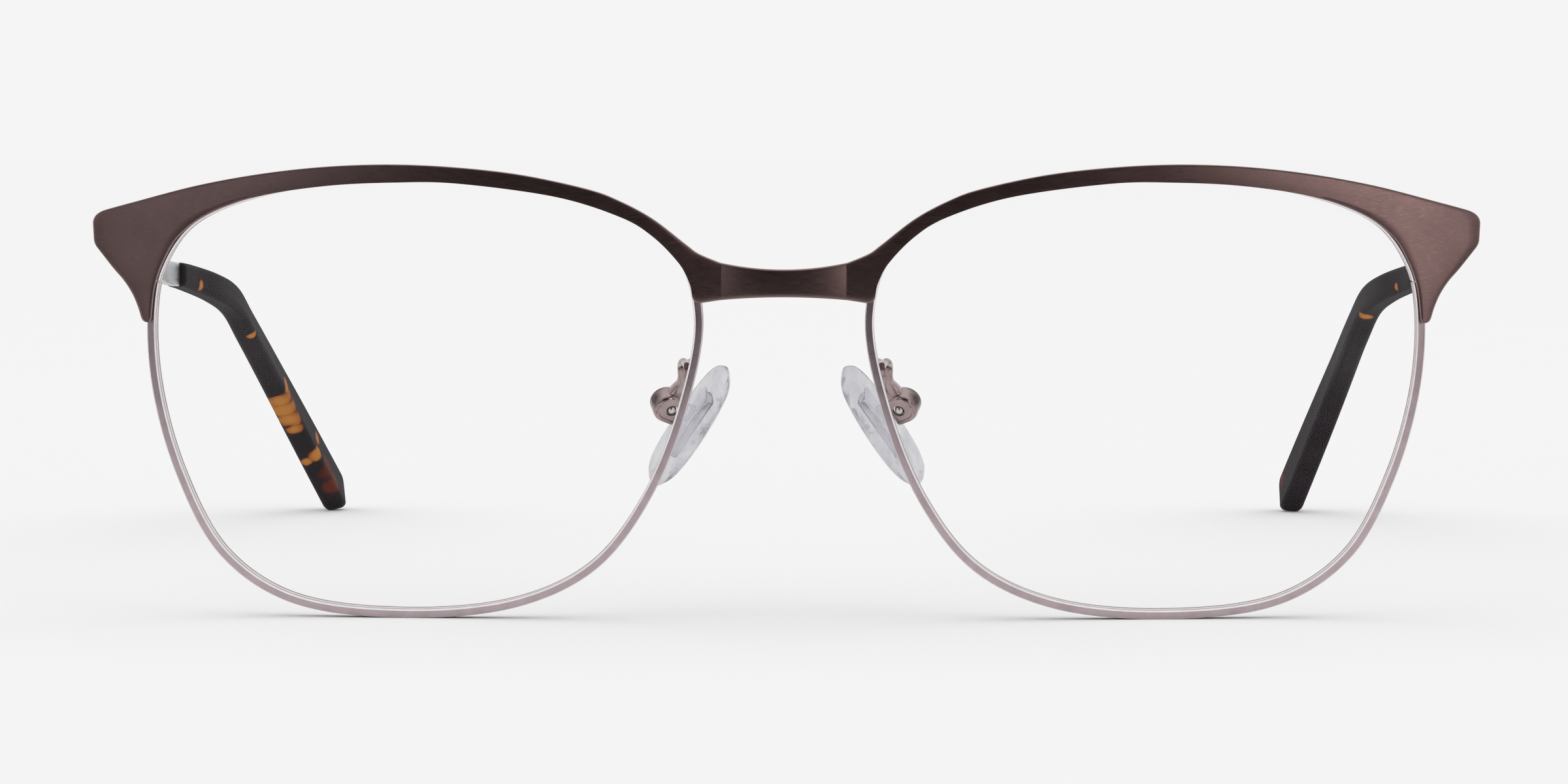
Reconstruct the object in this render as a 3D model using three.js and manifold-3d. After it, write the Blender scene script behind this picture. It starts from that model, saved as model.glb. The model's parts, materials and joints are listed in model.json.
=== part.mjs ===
// Browline eyeglasses: a brown sheet-metal brow plate over thin full-rim metal eyewires,
// adjustable nose pads, screwed hinges and metal temples with slide-on acetate tips.
// Millimetres, +Z up, +X to the wearer's left, the front faces -Y. The glasses stand open
// on a surface at z = 0, on the bottoms of both eyewires and on both temple tips.

import * as THREE from 'three';
import Module from 'manifold-3d';

const wasm = await Module();
wasm.setup();

// ---------------------------------------------------------------- driving dimensions

const DEPTH_CENTRE = 71.5;          // the front's own y = 0 plane lies this far ahead of the centre
const GROUND = 0.195;               // lifts the rims' outer edges to z = 0
const FRONT_TILT = THREE.MathUtils.degToRad(2.0);   // pantoscopic tilt, top edge forward
const FRONT_WRAP = THREE.MathUtils.degToRad(4.0);   // each eye turns back at its temple side
const BASE_RADIUS = 190;            // base curve of the front
const EYE_X = 36.3;                 // eye centre from the middle of the bridge
const EYE_Z = 22.5;                 // eye centre above the lowest point of the rim

const PLATE_THICKNESS = 1.0;
const PLATE_GAP = 0.08;             // solder film between the brow plate and the eyewires
const CREASE_X = 6.3;               // the bridge is creased here and arches forward between
const ARCH_RADIUS = 30;

const RIM_WIDTH = 0.9;
const RIM_DEPTH = 2.1;
const RIM_CHAMFER = 0.14;
const RIM_BEVEL = 0.28;             // wider bevel of the inner front edge, beside the lens
const GROOVE_DEPTH = 0.42;
const GROOVE_HALF = 0.45;
const RIM_SPLIT = 0.1;              // half the slit between the two ends of an eyewire
const RIM_STATIONS = 56;

const LENS_CLEARANCE = 0.1;
const LENS_BEVEL = 0.28;
const LENS_FRONT = 0.35;            // lens faces, measured back from the front of the eyewire
const LENS_BACK = 1.75;
const LENS_STATIONS = 44;

const HINGE = { x: 66.2, y: 8.2, z: 37.3 };         // middle of the left hinge axis
const TEMPLE_DROP = THREE.MathUtils.degToRad(4.23); // the arms fall towards the ears
const BARREL_RADIUS = 0.95;
const BARREL_HALF = 0.65;           // half height of the temple's barrel
const BARREL_END = 1.7;             // top of the upper front barrel above the middle
const PIN_RADIUS = 0.45;
const PIN_BORE = 0.5;

const ARM_THICKNESS = 1.2;
const ARM_HEIGHT = 2.7;
const CORE_THICKNESS = 0.9;
const CORE_HEIGHT = 1.4;
const TIP_THICKNESS = 2.55;
const TIP_HEIGHT = 2.8;
const TIP_END_THICKNESS = 2.9;
const TIP_END_HEIGHT = 5.2;
const SLOT_GAP = 0.3;
const SLEEVE_START = 0.475;         // where the acetate begins and the core ends, as parts of
const CORE_END = 0.94;              // the temple's length

const PAD_LENGTH = 14.6;
const PAD_WIDTH = 6.7;
const PAD_THICKNESS = 2.7;
const PAD_TURN = 0.23;              // the pad's front edge is turned outwards from the box

// Eye shape of the left lens: opening at the front lip of the eyewire.
const EYE_SHAPE = [
  [62.9, 30.8], [62.6, 23.2], [60.2, 14.2], [56.0, 6.4], [49.6, 2.1], [38.0, 0.65],
  [26.4, 1.95], [19.3, 5.5], [14.3, 11.9], [10.5, 21.2], [8.95, 30.2], [10.9, 36.2],
  [18.0, 40.75], [28.0, 42.9], [38.8, 43.4], [51.0, 42.1], [59.0, 38.9], [62.0, 34.8],
];

// Centre line of the left temple in plan and height, hinge to tip: [x, y, z].
// The last two points depend on how far each tip is bent towards the head.
const TEMPLE_LINE = [
  [67.85, 8.6, 37.25], [69.9, 45, 34.57], [72.1, 70, 32.58], [71.2, 80, 31.7],
  [69.2, 89, 30.15], [68.2, 97, 28.4], [67.6, 106, 24.9],
];
const TIP_LINE = {
  left: [[66.8, 124, 17.6], [62.85, 142.6, 2.42]],
  right: [[65.9, 124, 16.6], [61.25, 142.6, 2.45]],
};
const TIP_LEAN = { left: 6.5, right: 13.8 };       // degrees, foot of the section inwards

// ---------------------------------------------------------------- materials

const brownMetal = { color: 0x54433f, roughness: 0.42, metalness: 0.85 };
const mauveMetal = { color: 0x9d8d93, roughness: 0.32, metalness: 0.9 };
const steel = { color: 0x8b8b90, roughness: 0.35, metalness: 1.0 };
const screwSteel = { color: 0xb9b9bd, roughness: 0.25, metalness: 1.0 };
const tortoise = { color: 0x3a2015, roughness: 0.25, metalness: 0.0 };
const clearLens = { color: 0xf2f5f6, roughness: 0.05, metalness: 0.0 };
const silicone = { color: 0xdedee2, roughness: 0.2, metalness: 0.0 };
const padPlastic = { color: 0xc9c9cf, roughness: 0.3, metalness: 0.0 };

// ---------------------------------------------------------------- solid helpers

const vec = (x, y, z) => new THREE.Vector3(x, y, z);

// Closed solid through a row of rings with equal point counts. Each end is closed with
// the ring's own triangles, or with a fan to an apex where one is given.
function solidFromRings(rings, { startApex, endApex, section } = {}) {
  const count = rings[0].length;
  const points = rings.flat();
  const index = [];
  for (let ring = 0; ring < rings.length - 1; ring++) {
    for (let i = 0; i < count; i++) {
      const a = ring * count + i;
      const b = ring * count + ((i + 1) % count);
      index.push(a, b, b + count, a, b + count, a + count);
    }
  }
  const flatSection = section ?? rings[0].map((_, i) => {
    const turn = (2 * Math.PI * i) / count;
    return new THREE.Vector2(Math.cos(turn), Math.sin(turn));
  });
  const capTriangles = THREE.ShapeUtils.triangulateShape(flatSection, []);
  closeEnd(index, points, 0, count, capTriangles, startApex, true);
  closeEnd(index, points, (rings.length - 1) * count, count, capTriangles, endApex, false);
  return outwardGeometry(points, index);
}

function closeEnd(index, points, first, count, triangles, apex, reversed) {
  if (apex) {
    points.push(apex);
    for (let i = 0; i < count; i++) {
      const pair = [first + i, first + ((i + 1) % count)];
      if (reversed) pair.reverse();
      index.push(points.length - 1, ...pair);
    }
    return;
  }
  for (const triangle of triangles) {
    const corners = triangle.map((corner) => first + corner);
    if (reversed) corners.reverse();
    index.push(...corners);
  }
}

// Indexed geometry whose faces are turned to point out of the solid.
function outwardGeometry(points, index) {
  let volume = 0;
  for (let i = 0; i < index.length; i += 3) {
    const [a, b, c] = [points[index[i]], points[index[i + 1]], points[index[i + 2]]];
    volume += a.dot(b.clone().cross(c));
  }
  const geometry = new THREE.BufferGeometry().setFromPoints(points);
  geometry.setIndex(volume < 0 ? index.slice().reverse() : index);
  return geometry;
}

function toManifold(geometry) {
  const position = geometry.getAttribute('position').array;
  const mesh = new wasm.Mesh({
    numProp: 3,
    vertProperties: new Float32Array(position),
    triVerts: new Uint32Array(geometry.index.array),
  });
  mesh.merge();
  return new wasm.Manifold(mesh);
}

function fromManifold(solid) {
  const mesh = solid.getMesh();
  const geometry = new THREE.BufferGeometry();
  geometry.setAttribute('position', new THREE.BufferAttribute(mesh.vertProperties, 3));
  geometry.setIndex(new THREE.BufferAttribute(mesh.triVerts, 1));
  return geometry;
}

// A box or a round bar as a solid, placed by a matrix; the bar lies along local Z.
function boxSolid(sizeX, sizeY, sizeZ, matrix) {
  const geometry = new THREE.BoxGeometry(sizeX, sizeY, sizeZ);
  return toManifold(geometry.applyMatrix4(matrix));
}

function barSolid(radius, length, sides, matrix) {
  const geometry = new THREE.CylinderGeometry(radius, radius, length, sides);
  return toManifold(geometry.rotateX(Math.PI / 2).applyMatrix4(matrix));
}

const shift = (x, y, z) => new THREE.Matrix4().makeTranslation(x, y, z);

// Places a local solid into a frame: its origin, and its X and Z directions.
function frameMatrix(origin, xAxis, zAxis) {
  const z = zAxis.clone().normalize();
  const x = xAxis.clone().addScaledVector(z, -xAxis.dot(z)).normalize();
  const y = z.clone().cross(x);
  return new THREE.Matrix4().makeBasis(x, y, z).setPosition(origin);
}

// ---------------------------------------------------------------- the front's curved surface

// Point on the front's surface, set back by `back` from the eyewires' front. Between the two
// creases the surface runs straight across.
function onFront(x, z, back) {
  const side = Math.max(Math.abs(x), CREASE_X) - EYE_X;
  const sweep = side * Math.tan(FRONT_WRAP) + (side * side + (z - EYE_Z) ** 2) / (2 * BASE_RADIUS);
  const y = sweep + back;
  const cos = Math.cos(FRONT_TILT);
  const sin = Math.sin(FRONT_TILT);
  return vec(x, y * cos - z * sin, y * sin + z * cos);
}

const eyeCurve = new THREE.CatmullRomCurve3(
  EYE_SHAPE.map(([x, z]) => vec(x, 0, z)), true, 'centripetal');

// Station on the eye shape: place and outward direction, both in the flat x-z plane.
function eyeStation(u) {
  const turn = ((u % 1) + 1) % 1;
  const place = eyeCurve.getPointAt(turn);
  const along = eyeCurve.getTangentAt(turn);
  return { x: place.x, z: place.z, outX: -along.z, outZ: along.x };
}

function eyePoint(station, out, back) {
  return onFront(station.x + out * station.outX, station.z + out * station.outZ, back);
}

// Where the eyewire is split, as a part of its length, at the temple side.
const eyeLength = eyeCurve.getLength();
const LOCK_Z = 33.3;
const lockTurn = -(LOCK_Z - EYE_SHAPE[0][1]) / eyeLength;

// ---------------------------------------------------------------- front: plate, rims, lenses

function archForward(x) {
  if (Math.abs(x) >= CREASE_X) return 0;
  const rise = Math.sqrt(ARCH_RADIUS ** 2 - x * x) - Math.sqrt(ARCH_RADIUS ** 2 - CREASE_X ** 2);
  return -rise;
}

// Upper and lower edges of the left half of the brow plate, as paired points.
function plateEdges(bridgeSteps, browSteps) {
  const bridgeTop = new THREE.SplineCurve([[0, 34.8], [3.2, 35.0], [CREASE_X, 35.44]].map(flat));
  const bridgeLow = new THREE.SplineCurve([[0, 32.09], [3.2, 32.04], [CREASE_X, 31.76]].map(flat));

  const outer = new THREE.Path().moveTo(CREASE_X, 35.44);
  outer.splineThru([[8.41, 36.33], [9.7, 37.27], [12.93, 39.77], [16.15, 41.52], [19.38, 42.72],
    [25.84, 44.11], [32.32, 44.85], [38.82, 45.13], [45.36, 44.9], [51.94, 44.17],
    [58.59, 42.95], [65.3, 41.2], [67.9, 40.49]].map(flat));
  outer.quadraticCurveTo(69.25, 40.12, 69.34, 39.2);
  outer.lineTo(69.24, 37.5);
  outer.quadraticCurveTo(69.2, 37.05, 68.9, 36.68);
  outer.splineThru([[67.27, 34.7], [66.12, 33.42], [65.25, 32.12], [64.68, 30.83],
    [64.36, 29.8]].map(flat));
  outer.quadraticCurveTo(64.2, 29.28, 63.75, 29.28);

  const inner = new THREE.Path().moveTo(CREASE_X, 31.76);
  inner.lineTo(8.2, 31.48);
  inner.quadraticCurveTo(8.95, 31.42, 9.06, 32.1);
  inner.splineThru([[9.31, 33.37], [10.35, 35.37], [12.93, 38.02], [16.15, 39.96],
    [22.61, 41.97], [32.32, 43.26], [38.82, 43.34], [45.36, 42.99], [51.94, 41.99],
    [57.03, 40.34], [60.32, 38.04], [62.0, 35.42], [62.92, 32.81], [63.27, 30.2]].map(flat));
  inner.quadraticCurveTo(63.28, 29.3, 63.55, 29.28);

  const top = [...bridgeTop.getPoints(bridgeSteps), ...outer.getSpacedPoints(browSteps).slice(1)];
  const low = [...bridgeLow.getPoints(bridgeSteps), ...inner.getSpacedPoints(browSteps).slice(1)];
  return top.map((point, i) => [point, low[i]]);
}

function flat([x, z]) {
  return new THREE.Vector2(x, z);
}

function browPlate() {
  const half = plateEdges(4, 38);
  const mirrored = half.slice(1).reverse().map((pair) => pair.map((p) => flat([-p.x, p.y])));
  const rings = [...mirrored, ...half].map(([top, low]) => {
    const front = -PLATE_THICKNESS - PLATE_GAP;
    return [
      onFront(top.x, top.y, front + archForward(top.x)),
      onFront(low.x, low.y, front + archForward(low.x)),
      onFront(low.x, low.y, -PLATE_GAP + archForward(low.x)),
      onFront(top.x, top.y, -PLATE_GAP + archForward(top.x)),
    ];
  });
  return solidFromRings(rings);
}

// Rim section: [outwards from the opening, back from the front face], with the lens groove.
const RIM_SECTION = [
  [RIM_BEVEL, 0], [RIM_WIDTH - RIM_CHAMFER, 0], [RIM_WIDTH, RIM_CHAMFER],
  [RIM_WIDTH, RIM_DEPTH - RIM_CHAMFER], [RIM_WIDTH - RIM_CHAMFER, RIM_DEPTH],
  [RIM_CHAMFER, RIM_DEPTH], [0, RIM_DEPTH - RIM_CHAMFER],
  [0, RIM_DEPTH / 2 + GROOVE_HALF], [GROOVE_DEPTH, RIM_DEPTH / 2],
  [0, RIM_DEPTH / 2 - GROOVE_HALF], [0, RIM_BEVEL],
];

function eyewire() {
  const slit = RIM_SPLIT / eyeLength;
  const rings = [];
  for (let i = 0; i <= RIM_STATIONS; i++) {
    const u = lockTurn + slit + ((1 - 2 * slit) * i) / RIM_STATIONS;
    const station = eyeStation(u);
    rings.push(RIM_SECTION.map(([out, back]) => eyePoint(station, out, back)));
  }
  return solidFromRings(rings, { section: RIM_SECTION.map(flat) });
}

function lens() {
  const edge = -LENS_CLEARANCE;
  const middle = RIM_DEPTH / 2;
  const layers = [
    [0.45, 0, LENS_FRONT], [0.8, 0, LENS_FRONT], [1, edge, LENS_FRONT],
    [1, edge, middle - LENS_BEVEL - LENS_CLEARANCE], [1, LENS_BEVEL, middle],
    [1, edge, middle + LENS_BEVEL + LENS_CLEARANCE], [1, edge, LENS_BACK],
    [0.8, 0, LENS_BACK], [0.45, 0, LENS_BACK],
  ];
  const rings = layers.map(([size, out, back]) => {
    const ring = [];
    for (let i = 0; i < LENS_STATIONS; i++) {
      const station = eyeStation(i / LENS_STATIONS);
      const x = EYE_X + size * (station.x + out * station.outX - EYE_X);
      const z = EYE_Z + size * (station.z + out * station.outZ - EYE_Z);
      ring.push(onFront(x, z, back));
    }
    return ring;
  });
  return solidFromRings(rings, {
    startApex: onFront(EYE_X, EYE_Z, LENS_FRONT),
    endApex: onFront(EYE_X, EYE_Z, LENS_BACK),
  });
}

// ---------------------------------------------------------------- rim lock at the temple side

const LOCK = { out: 1.8, depth: 3.9, width: 1.6, height: 1.2, gap: 0.1 };

// Frame at the lock: X outwards, Y back, Z up along the eyewire.
function lockFrame() {
  const station = eyeStation(lockTurn);
  const origin = eyePoint(station, LOCK.out, 0.35 + LOCK.depth / 2);
  const out = eyePoint(station, LOCK.out + 1, 2).sub(eyePoint(station, LOCK.out, 2));
  const above = eyePoint(eyeStation(lockTurn - 0.004), LOCK.out, 2);
  const below = eyePoint(eyeStation(lockTurn + 0.004), LOCK.out, 2);
  return frameMatrix(origin, out, above.sub(below));
}

function lockBlock(low, high) {
  const frame = lockFrame();
  const centre = shift(0, 0, (low + high) / 2).premultiply(frame);
  const block = boxSolid(LOCK.width, LOCK.depth, high - low, centre);
  const bore = barSolid(PIN_BORE, 8, 12, frame);
  return fromManifold(block.subtract(bore));
}

function lockScrew() {
  const shank = barSolid(PIN_RADIUS, 2.4, 12, shift(0, 0, -0.2).premultiply(lockFrame()));
  const head = barSolid(0.75, 0.5, 16, shift(0, 0, -1.5).premultiply(lockFrame()));
  const slot = boxSolid(3, 0.25, 0.25, shift(0, 0, -1.75).premultiply(lockFrame()));
  return fromManifold(shank.add(head).subtract(slot));
}

// ---------------------------------------------------------------- endpiece and hinge

const hingeOrigin = vec(HINGE.x, HINGE.y, HINGE.z);
const hingeAxis = vec(0, Math.sin(TEMPLE_DROP), Math.cos(TEMPLE_DROP));

// Frame at the hinge: X outwards, Y back along the temple, Z along the pin.
const hingeFrame = frameMatrix(hingeOrigin, vec(1, 0, 0), hingeAxis);
const legX = BARREL_RADIUS + 0.1 + ARM_THICKNESS / 2;

// Bent strap from the back of the brow plate to the hinge.
function endpiece() {
  const plateUp = vec(0, -Math.sin(FRONT_TILT), Math.cos(FRONT_TILT));
  const behind = ARM_THICKNESS / 2 + 0.15;
  const legFront = at(legX, -1.4, 0);
  const legEnd = at(legX, -0.15, 0);
  const curve = new THREE.CatmullRomCurve3([
    onFront(63.7, HINGE.z, behind), onFront(65.4, HINGE.z, behind),
    onFront(66.8, HINGE.z, behind + 0.2), vec().setFromMatrixPosition(legFront),
    vec().setFromMatrixPosition(legEnd),
  ], false, 'centripetal');
  const rings = [];
  const steps = 14;
  for (let i = 0; i <= steps; i++) {
    const u = i / steps;
    const along = curve.getTangentAt(u);
    const height = plateUp.clone().lerp(hingeAxis, u);
    height.addScaledVector(along, -height.dot(along)).normalize();
    const station = { place: curve.getPointAt(u), height, out: height.clone().cross(along) };
    rings.push(sectionRing(station, ARM_THICKNESS, ARM_HEIGHT, 0.12));
  }
  return solidFromRings(rings);
}

function barrel(low, high, direction) {
  const middle = (low + high) / 2;
  const tube = barSolid(BARREL_RADIUS, high - low, 16, at(0, 0, middle));
  const knuckle = boxSolid(0.6, 1.9, high - low, at(0.65, direction * 0.95, middle));
  return tube.add(knuckle);
}

const at = (x, y, z) => shift(x, y, z).premultiply(hingeFrame);

// Front half of the hinge: an upper and a lower barrel on one leaf inside the endpiece's leg.
function frontHinge() {
  const play = 0.06;
  const leaf = boxSolid(0.6, 0.55, 2 * BARREL_END, at(0.65, -1.38, 0));
  const upper = barrel(BARREL_HALF + play, BARREL_END, -0.9);
  const lower = barrel(-BARREL_END, -BARREL_HALF - play, -0.9);
  const bore = barSolid(PIN_BORE, 8, 12, at(0, 0, 0));
  return fromManifold(upper.add(lower).add(leaf).subtract(bore));
}

// Temple half of the hinge: the middle barrel on a long leaf inside the arm.
function templeHinge() {
  const leaf = boxSolid(0.6, 3.4, 2.3, at(0.65, 2.85, 0));
  const bore = barSolid(PIN_BORE, 8, 12, at(0, 0, 0));
  return fromManifold(barrel(-BARREL_HALF, BARREL_HALF, 1).add(leaf).subtract(bore));
}

function hingeScrew() {
  const shank = barSolid(PIN_RADIUS, 2 * BARREL_END + 0.3, 12, at(0, 0, 0.05));
  const head = barSolid(0.8, 0.45, 16, at(0, 0, BARREL_END + 0.28));
  const slot = boxSolid(3, 0.25, 0.25, at(0, 0, BARREL_END + 0.5));
  return fromManifold(shank.add(head).subtract(slot));
}

// ---------------------------------------------------------------- temples

function templeCurve(side) {
  const line = [...TEMPLE_LINE, ...TIP_LINE[side]];
  return new THREE.CatmullRomCurve3(line.map((p) => vec(...p)), false, 'centripetal');
}

// Frame of the temple's section at part u of its length: height and thickness directions.
function templeStation(curve, side, u) {
  const place = curve.getPointAt(u);
  const along = curve.getTangentAt(u);
  const lean = THREE.MathUtils.smoothstep(place.y, 74, 106) * TIP_LEAN[side];
  const angle = THREE.MathUtils.degToRad(lean);
  const up = vec(Math.sin(angle), 0, Math.cos(angle));
  const height = up.addScaledVector(along, -up.dot(along)).normalize();
  const out = height.clone().cross(along).negate();
  return { place, height, out, along };
}

// Rounded rectangle ring about a station.
function sectionRing(station, thickness, height, round) {
  const corners = [];
  const halfOut = thickness / 2;
  const halfUp = height / 2;
  const signs = [[1, 1], [-1, 1], [-1, -1], [1, -1]];
  for (const [outSign, upSign] of signs) {
    const one = [outSign * halfOut, upSign * (halfUp - round)];
    const two = [outSign * (halfOut - round), upSign * halfUp];
    corners.push(...(outSign * upSign > 0 ? [one, two] : [two, one]));
  }
  return corners.map(([out, up]) => station.place.clone()
    .addScaledVector(station.out, out).addScaledVector(station.height, up));
}

function templeArm(side) {
  const curve = templeCurve(side);
  const shoulder = SLEEVE_START - 0.002;
  const rings = [];
  const steps = 12;
  for (let i = 0; i <= steps; i++) {
    const station = templeStation(curve, side, (shoulder * i) / steps);
    rings.push(sectionRing(station, ARM_THICKNESS, ARM_HEIGHT, 0.15));
  }
  const coreSteps = 20;
  for (let i = 0; i <= coreSteps; i++) {
    const u = THREE.MathUtils.lerp(shoulder + 0.0005, CORE_END, i / coreSteps);
    rings.push(sectionRing(templeStation(curve, side, u), CORE_THICKNESS, CORE_HEIGHT, 0.15));
  }
  return solidFromRings(rings);
}

// Acetate tip: a flattened bar that swells to a round-ended paddle, with a slot for the core.
function templeTip(side) {
  const curve = templeCurve(side);
  const rings = [];
  const steps = 22;
  for (let i = 0; i <= steps; i++) {
    const part = i / steps;
    const u = THREE.MathUtils.lerp(SLEEVE_START, 1, part);
    const thickness = THREE.MathUtils.lerp(TIP_THICKNESS, TIP_END_THICKNESS, part);
    const height = THREE.MathUtils.lerp(TIP_HEIGHT, TIP_END_HEIGHT, part);
    rings.push(sectionRing(templeStation(curve, side, u), thickness, height, 0.7));
  }
  const end = templeStation(curve, side, 1);
  for (const turn of [25, 50, 72]) {
    const angle = THREE.MathUtils.degToRad(turn);
    const place = end.place.clone()
      .addScaledVector(end.along, (TIP_END_HEIGHT / 2) * Math.sin(angle));
    const scale = Math.cos(angle);
    const thickness = TIP_END_THICKNESS * (0.35 + 0.65 * scale);
    const station = { ...end, place };
    rings.push(sectionRing(station, thickness, TIP_END_HEIGHT * scale, 0.7 * scale));
  }
  return toManifold(solidFromRings(rings)).subtract(coreSlot(curve, side));
}

function coreSlot(curve, side) {
  const rings = [];
  const steps = 20;
  for (let i = 0; i <= steps; i++) {
    const u = THREE.MathUtils.lerp(SLEEVE_START - 0.004, CORE_END + 0.004, i / steps);
    const station = templeStation(curve, side, u);
    const thickness = CORE_THICKNESS + 2 * SLOT_GAP;
    rings.push(sectionRing(station, thickness, CORE_HEIGHT + 2 * SLOT_GAP, 0.2));
  }
  return toManifold(solidFromRings(rings));
}

// ---------------------------------------------------------------- nose pads (left side)

// Pad frame: X runs back along the pad screw, Z up along the pad, and -Y towards the rim.
const padAxis = vec(-0.531, -0.3275, 0.781);
const screwLine = vec(0.265, 0.811, 0.52);
const padMatrix = frameMatrix(vec(9.45, 10.3, 18.5), screwLine, padAxis);
const padPlace = (x, y, z) => shift(x, y, z).premultiply(padMatrix);
const blankMatrix = new THREE.Matrix4().makeRotationZ(PAD_TURN).premultiply(padMatrix);
const blankPlace = (x, y, z) => shift(x, y, z).premultiply(blankMatrix);
const POST_Z = 1.25;                // the post sits above the middle of the pad
const BOX_Y = -3.6;                 // middle of the pad box, on the rim side of the pad
const BOX_RADIUS = 1.6;
const BOX_DEPTH = 2.2;              // size of the box along the screw

function padOutline(scale) {
  const half = scale * PAD_LENGTH / 2;
  const wide = scale * PAD_WIDTH / 2;
  const points = [];
  for (let i = 0; i < 28; i++) {
    const turn = (2 * Math.PI * i) / 28;
    const z = half * Math.sin(turn);
    const taper = 1 - 0.12 * (z / half);
    const x = wide * taper * Math.sign(Math.cos(turn)) * Math.abs(Math.cos(turn)) ** 0.65;
    points.push([x, z]);
  }
  return points;
}

function padRing(scale, y) {
  return padOutline(scale).map(([x, z]) => vec(x, y, z).applyMatrix4(blankMatrix));
}

// Silicone pad: flat towards the rim, domed towards the nose, moulded round the core plate.
function nosePad() {
  const half = PAD_THICKNESS / 2;
  const rings = [[0.86, -half], [0.97, -half + 0.35], [1, -half + 1.0], [0.96, 0.1],
    [0.82, 0.7], [0.55, 1.1]].map(([scale, y]) => padRing(scale, y));
  const body = toManifold(solidFromRings(rings, {
    endApex: vec(0, half, 0).applyMatrix4(blankMatrix),
  }));
  const pocket = boxSolid(3.4, 1.2, 8.0, blankPlace(0, -0.3, POST_Z - 0.9));
  const mouth = boxSolid(1.8, 2.4, 2.4, padPlace(0, -1.6, POST_Z));
  return fromManifold(body.subtract(pocket).subtract(mouth));
}

function padCore() {
  const plate = boxSolid(2.8, 0.6, 7.4, blankPlace(0, -0.3, POST_Z - 0.9));
  const post = boxSolid(0.8, 3.9, 1.8, padPlace(0, -2.35, POST_Z));
  const eye = barSolid(0.9, 0.8, 16, alongScrew(0));
  const bore = barSolid(PIN_BORE, 4, 12, alongScrew(0));
  return fromManifold(plate.add(post).add(eye).subtract(bore));
}

// The pad screw lies along the pad frame's X, through the box and the post's eye.
function alongScrew(offset) {
  const turn = new THREE.Matrix4().makeRotationY(Math.PI / 2);
  return turn.premultiply(padPlace(offset, BOX_Y, POST_Z));
}

// Metal box: a round cup open towards the pad, bored for the screw.
function padBox() {
  const shape = new THREE.Shape().moveTo(-1.0, -BOX_RADIUS);
  shape.lineTo(0.35, -BOX_RADIUS);
  shape.absarc(0.35, 0, BOX_RADIUS, -Math.PI / 2, Math.PI / 2, false);
  shape.lineTo(-1.0, BOX_RADIUS);
  shape.closePath();
  const bevel = { bevelThickness: 0.3, bevelSize: 0.3, bevelOffset: -0.3, bevelSegments: 1 };
  const geometry = new THREE.ExtrudeGeometry(shape, {
    depth: BOX_DEPTH - 0.6, curveSegments: 8, bevelEnabled: true, ...bevel,
  });
  geometry.translate(0, 0, -(BOX_DEPTH - 0.6) / 2);
  const toScrew = new THREE.Matrix4().makeBasis(vec(0, -1, 0), vec(0, 0, 1), vec(-1, 0, 0));
  geometry.applyMatrix4(toScrew.premultiply(padPlace(0, BOX_Y, POST_Z)));
  const cup = toManifold(mergedPositions(geometry));
  const mouth = boxSolid(1.2, 3.0, 2.5, padPlace(0, BOX_Y + 0.35, POST_Z));
  const bore = barSolid(PIN_BORE, 6, 12, alongScrew(0));
  const frontBore = barSolid(0.62, 1.0, 16, alongScrew(-0.9));
  return fromManifold(cup.subtract(mouth).subtract(bore).subtract(frontBore));
}

function mergedPositions(geometry) {
  const position = geometry.getAttribute('position');
  const keys = new Map();
  const points = [];
  const index = [];
  for (let i = 0; i < position.count; i++) {
    const point = vec().fromBufferAttribute(position, i);
    const key = point.toArray().map((v) => v.toFixed(4)).join(' ');
    if (!keys.has(key)) {
      keys.set(key, points.length);
      points.push(point);
    }
    index.push(keys.get(key));
  }
  return outwardGeometry(points, index);
}

// The screw goes in from behind, and its front end is rounded over in the front bore.
function padScrew() {
  const shank = barSolid(PIN_RADIUS, 1.9, 12, alongScrew(0.4));
  const ball = toManifold(new THREE.SphereGeometry(PIN_BORE, 14, 10).applyMatrix4(alongScrew(-0.6)));
  const head = barSolid(0.8, 0.4, 16, alongScrew(BOX_DEPTH / 2 + 0.25));
  const slot = boxSolid(0.25, 0.25, 3, alongScrew(BOX_DEPTH / 2 + 0.45).multiply(
    new THREE.Matrix4().makeRotationX(Math.PI / 2)));
  return fromManifold(shank.add(ball).add(head).subtract(slot));
}

// Pad arm: a flattened wire from the back of the eyewire, looped over to the pad box.
function padArm() {
  const line = [
    onFront(9.35, 25.0, RIM_DEPTH + 0.08), vec(9.75, 4.0, 25.35), vec(10.15, 5.8, 24.9),
    vec(0.05, BOX_Y, POST_Z + 2.8).applyMatrix4(padMatrix),
    vec(0, BOX_Y, POST_Z + BOX_RADIUS + 0.1).applyMatrix4(padMatrix),
  ];
  const curve = new THREE.CatmullRomCurve3(line, false, 'centripetal');
  const steps = 16;
  const rings = [];
  for (let i = 0; i <= steps; i++) {
    const u = i / steps;
    const place = curve.getPointAt(u);
    const along = curve.getTangentAt(u);
    const out = vec(1, 0, 0).addScaledVector(along, -along.x).normalize();
    const height = along.clone().cross(out);
    rings.push(sectionRing({ place, out, height }, 1.35, 0.85, 0.24));
  }
  return solidFromRings(rings);
}

// ---------------------------------------------------------------- assembly

// Mirror a left-hand geometry to the wearer's right.
function mirrored(geometry) {
  const copy = geometry.clone().scale(-1, 1, 1);
  copy.setIndex(Array.from(copy.index.array).reverse());
  return copy;
}

const glasses = new THREE.Group();
glasses.position.set(0, -DEPTH_CENTRE, GROUND);

function addPiece(name, geometry, finish) {
  geometry.computeVertexNormals();
  const mesh = new THREE.Mesh(geometry, new THREE.MeshStandardMaterial(finish));
  mesh.name = name;
  glasses.add(mesh);
}

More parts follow.
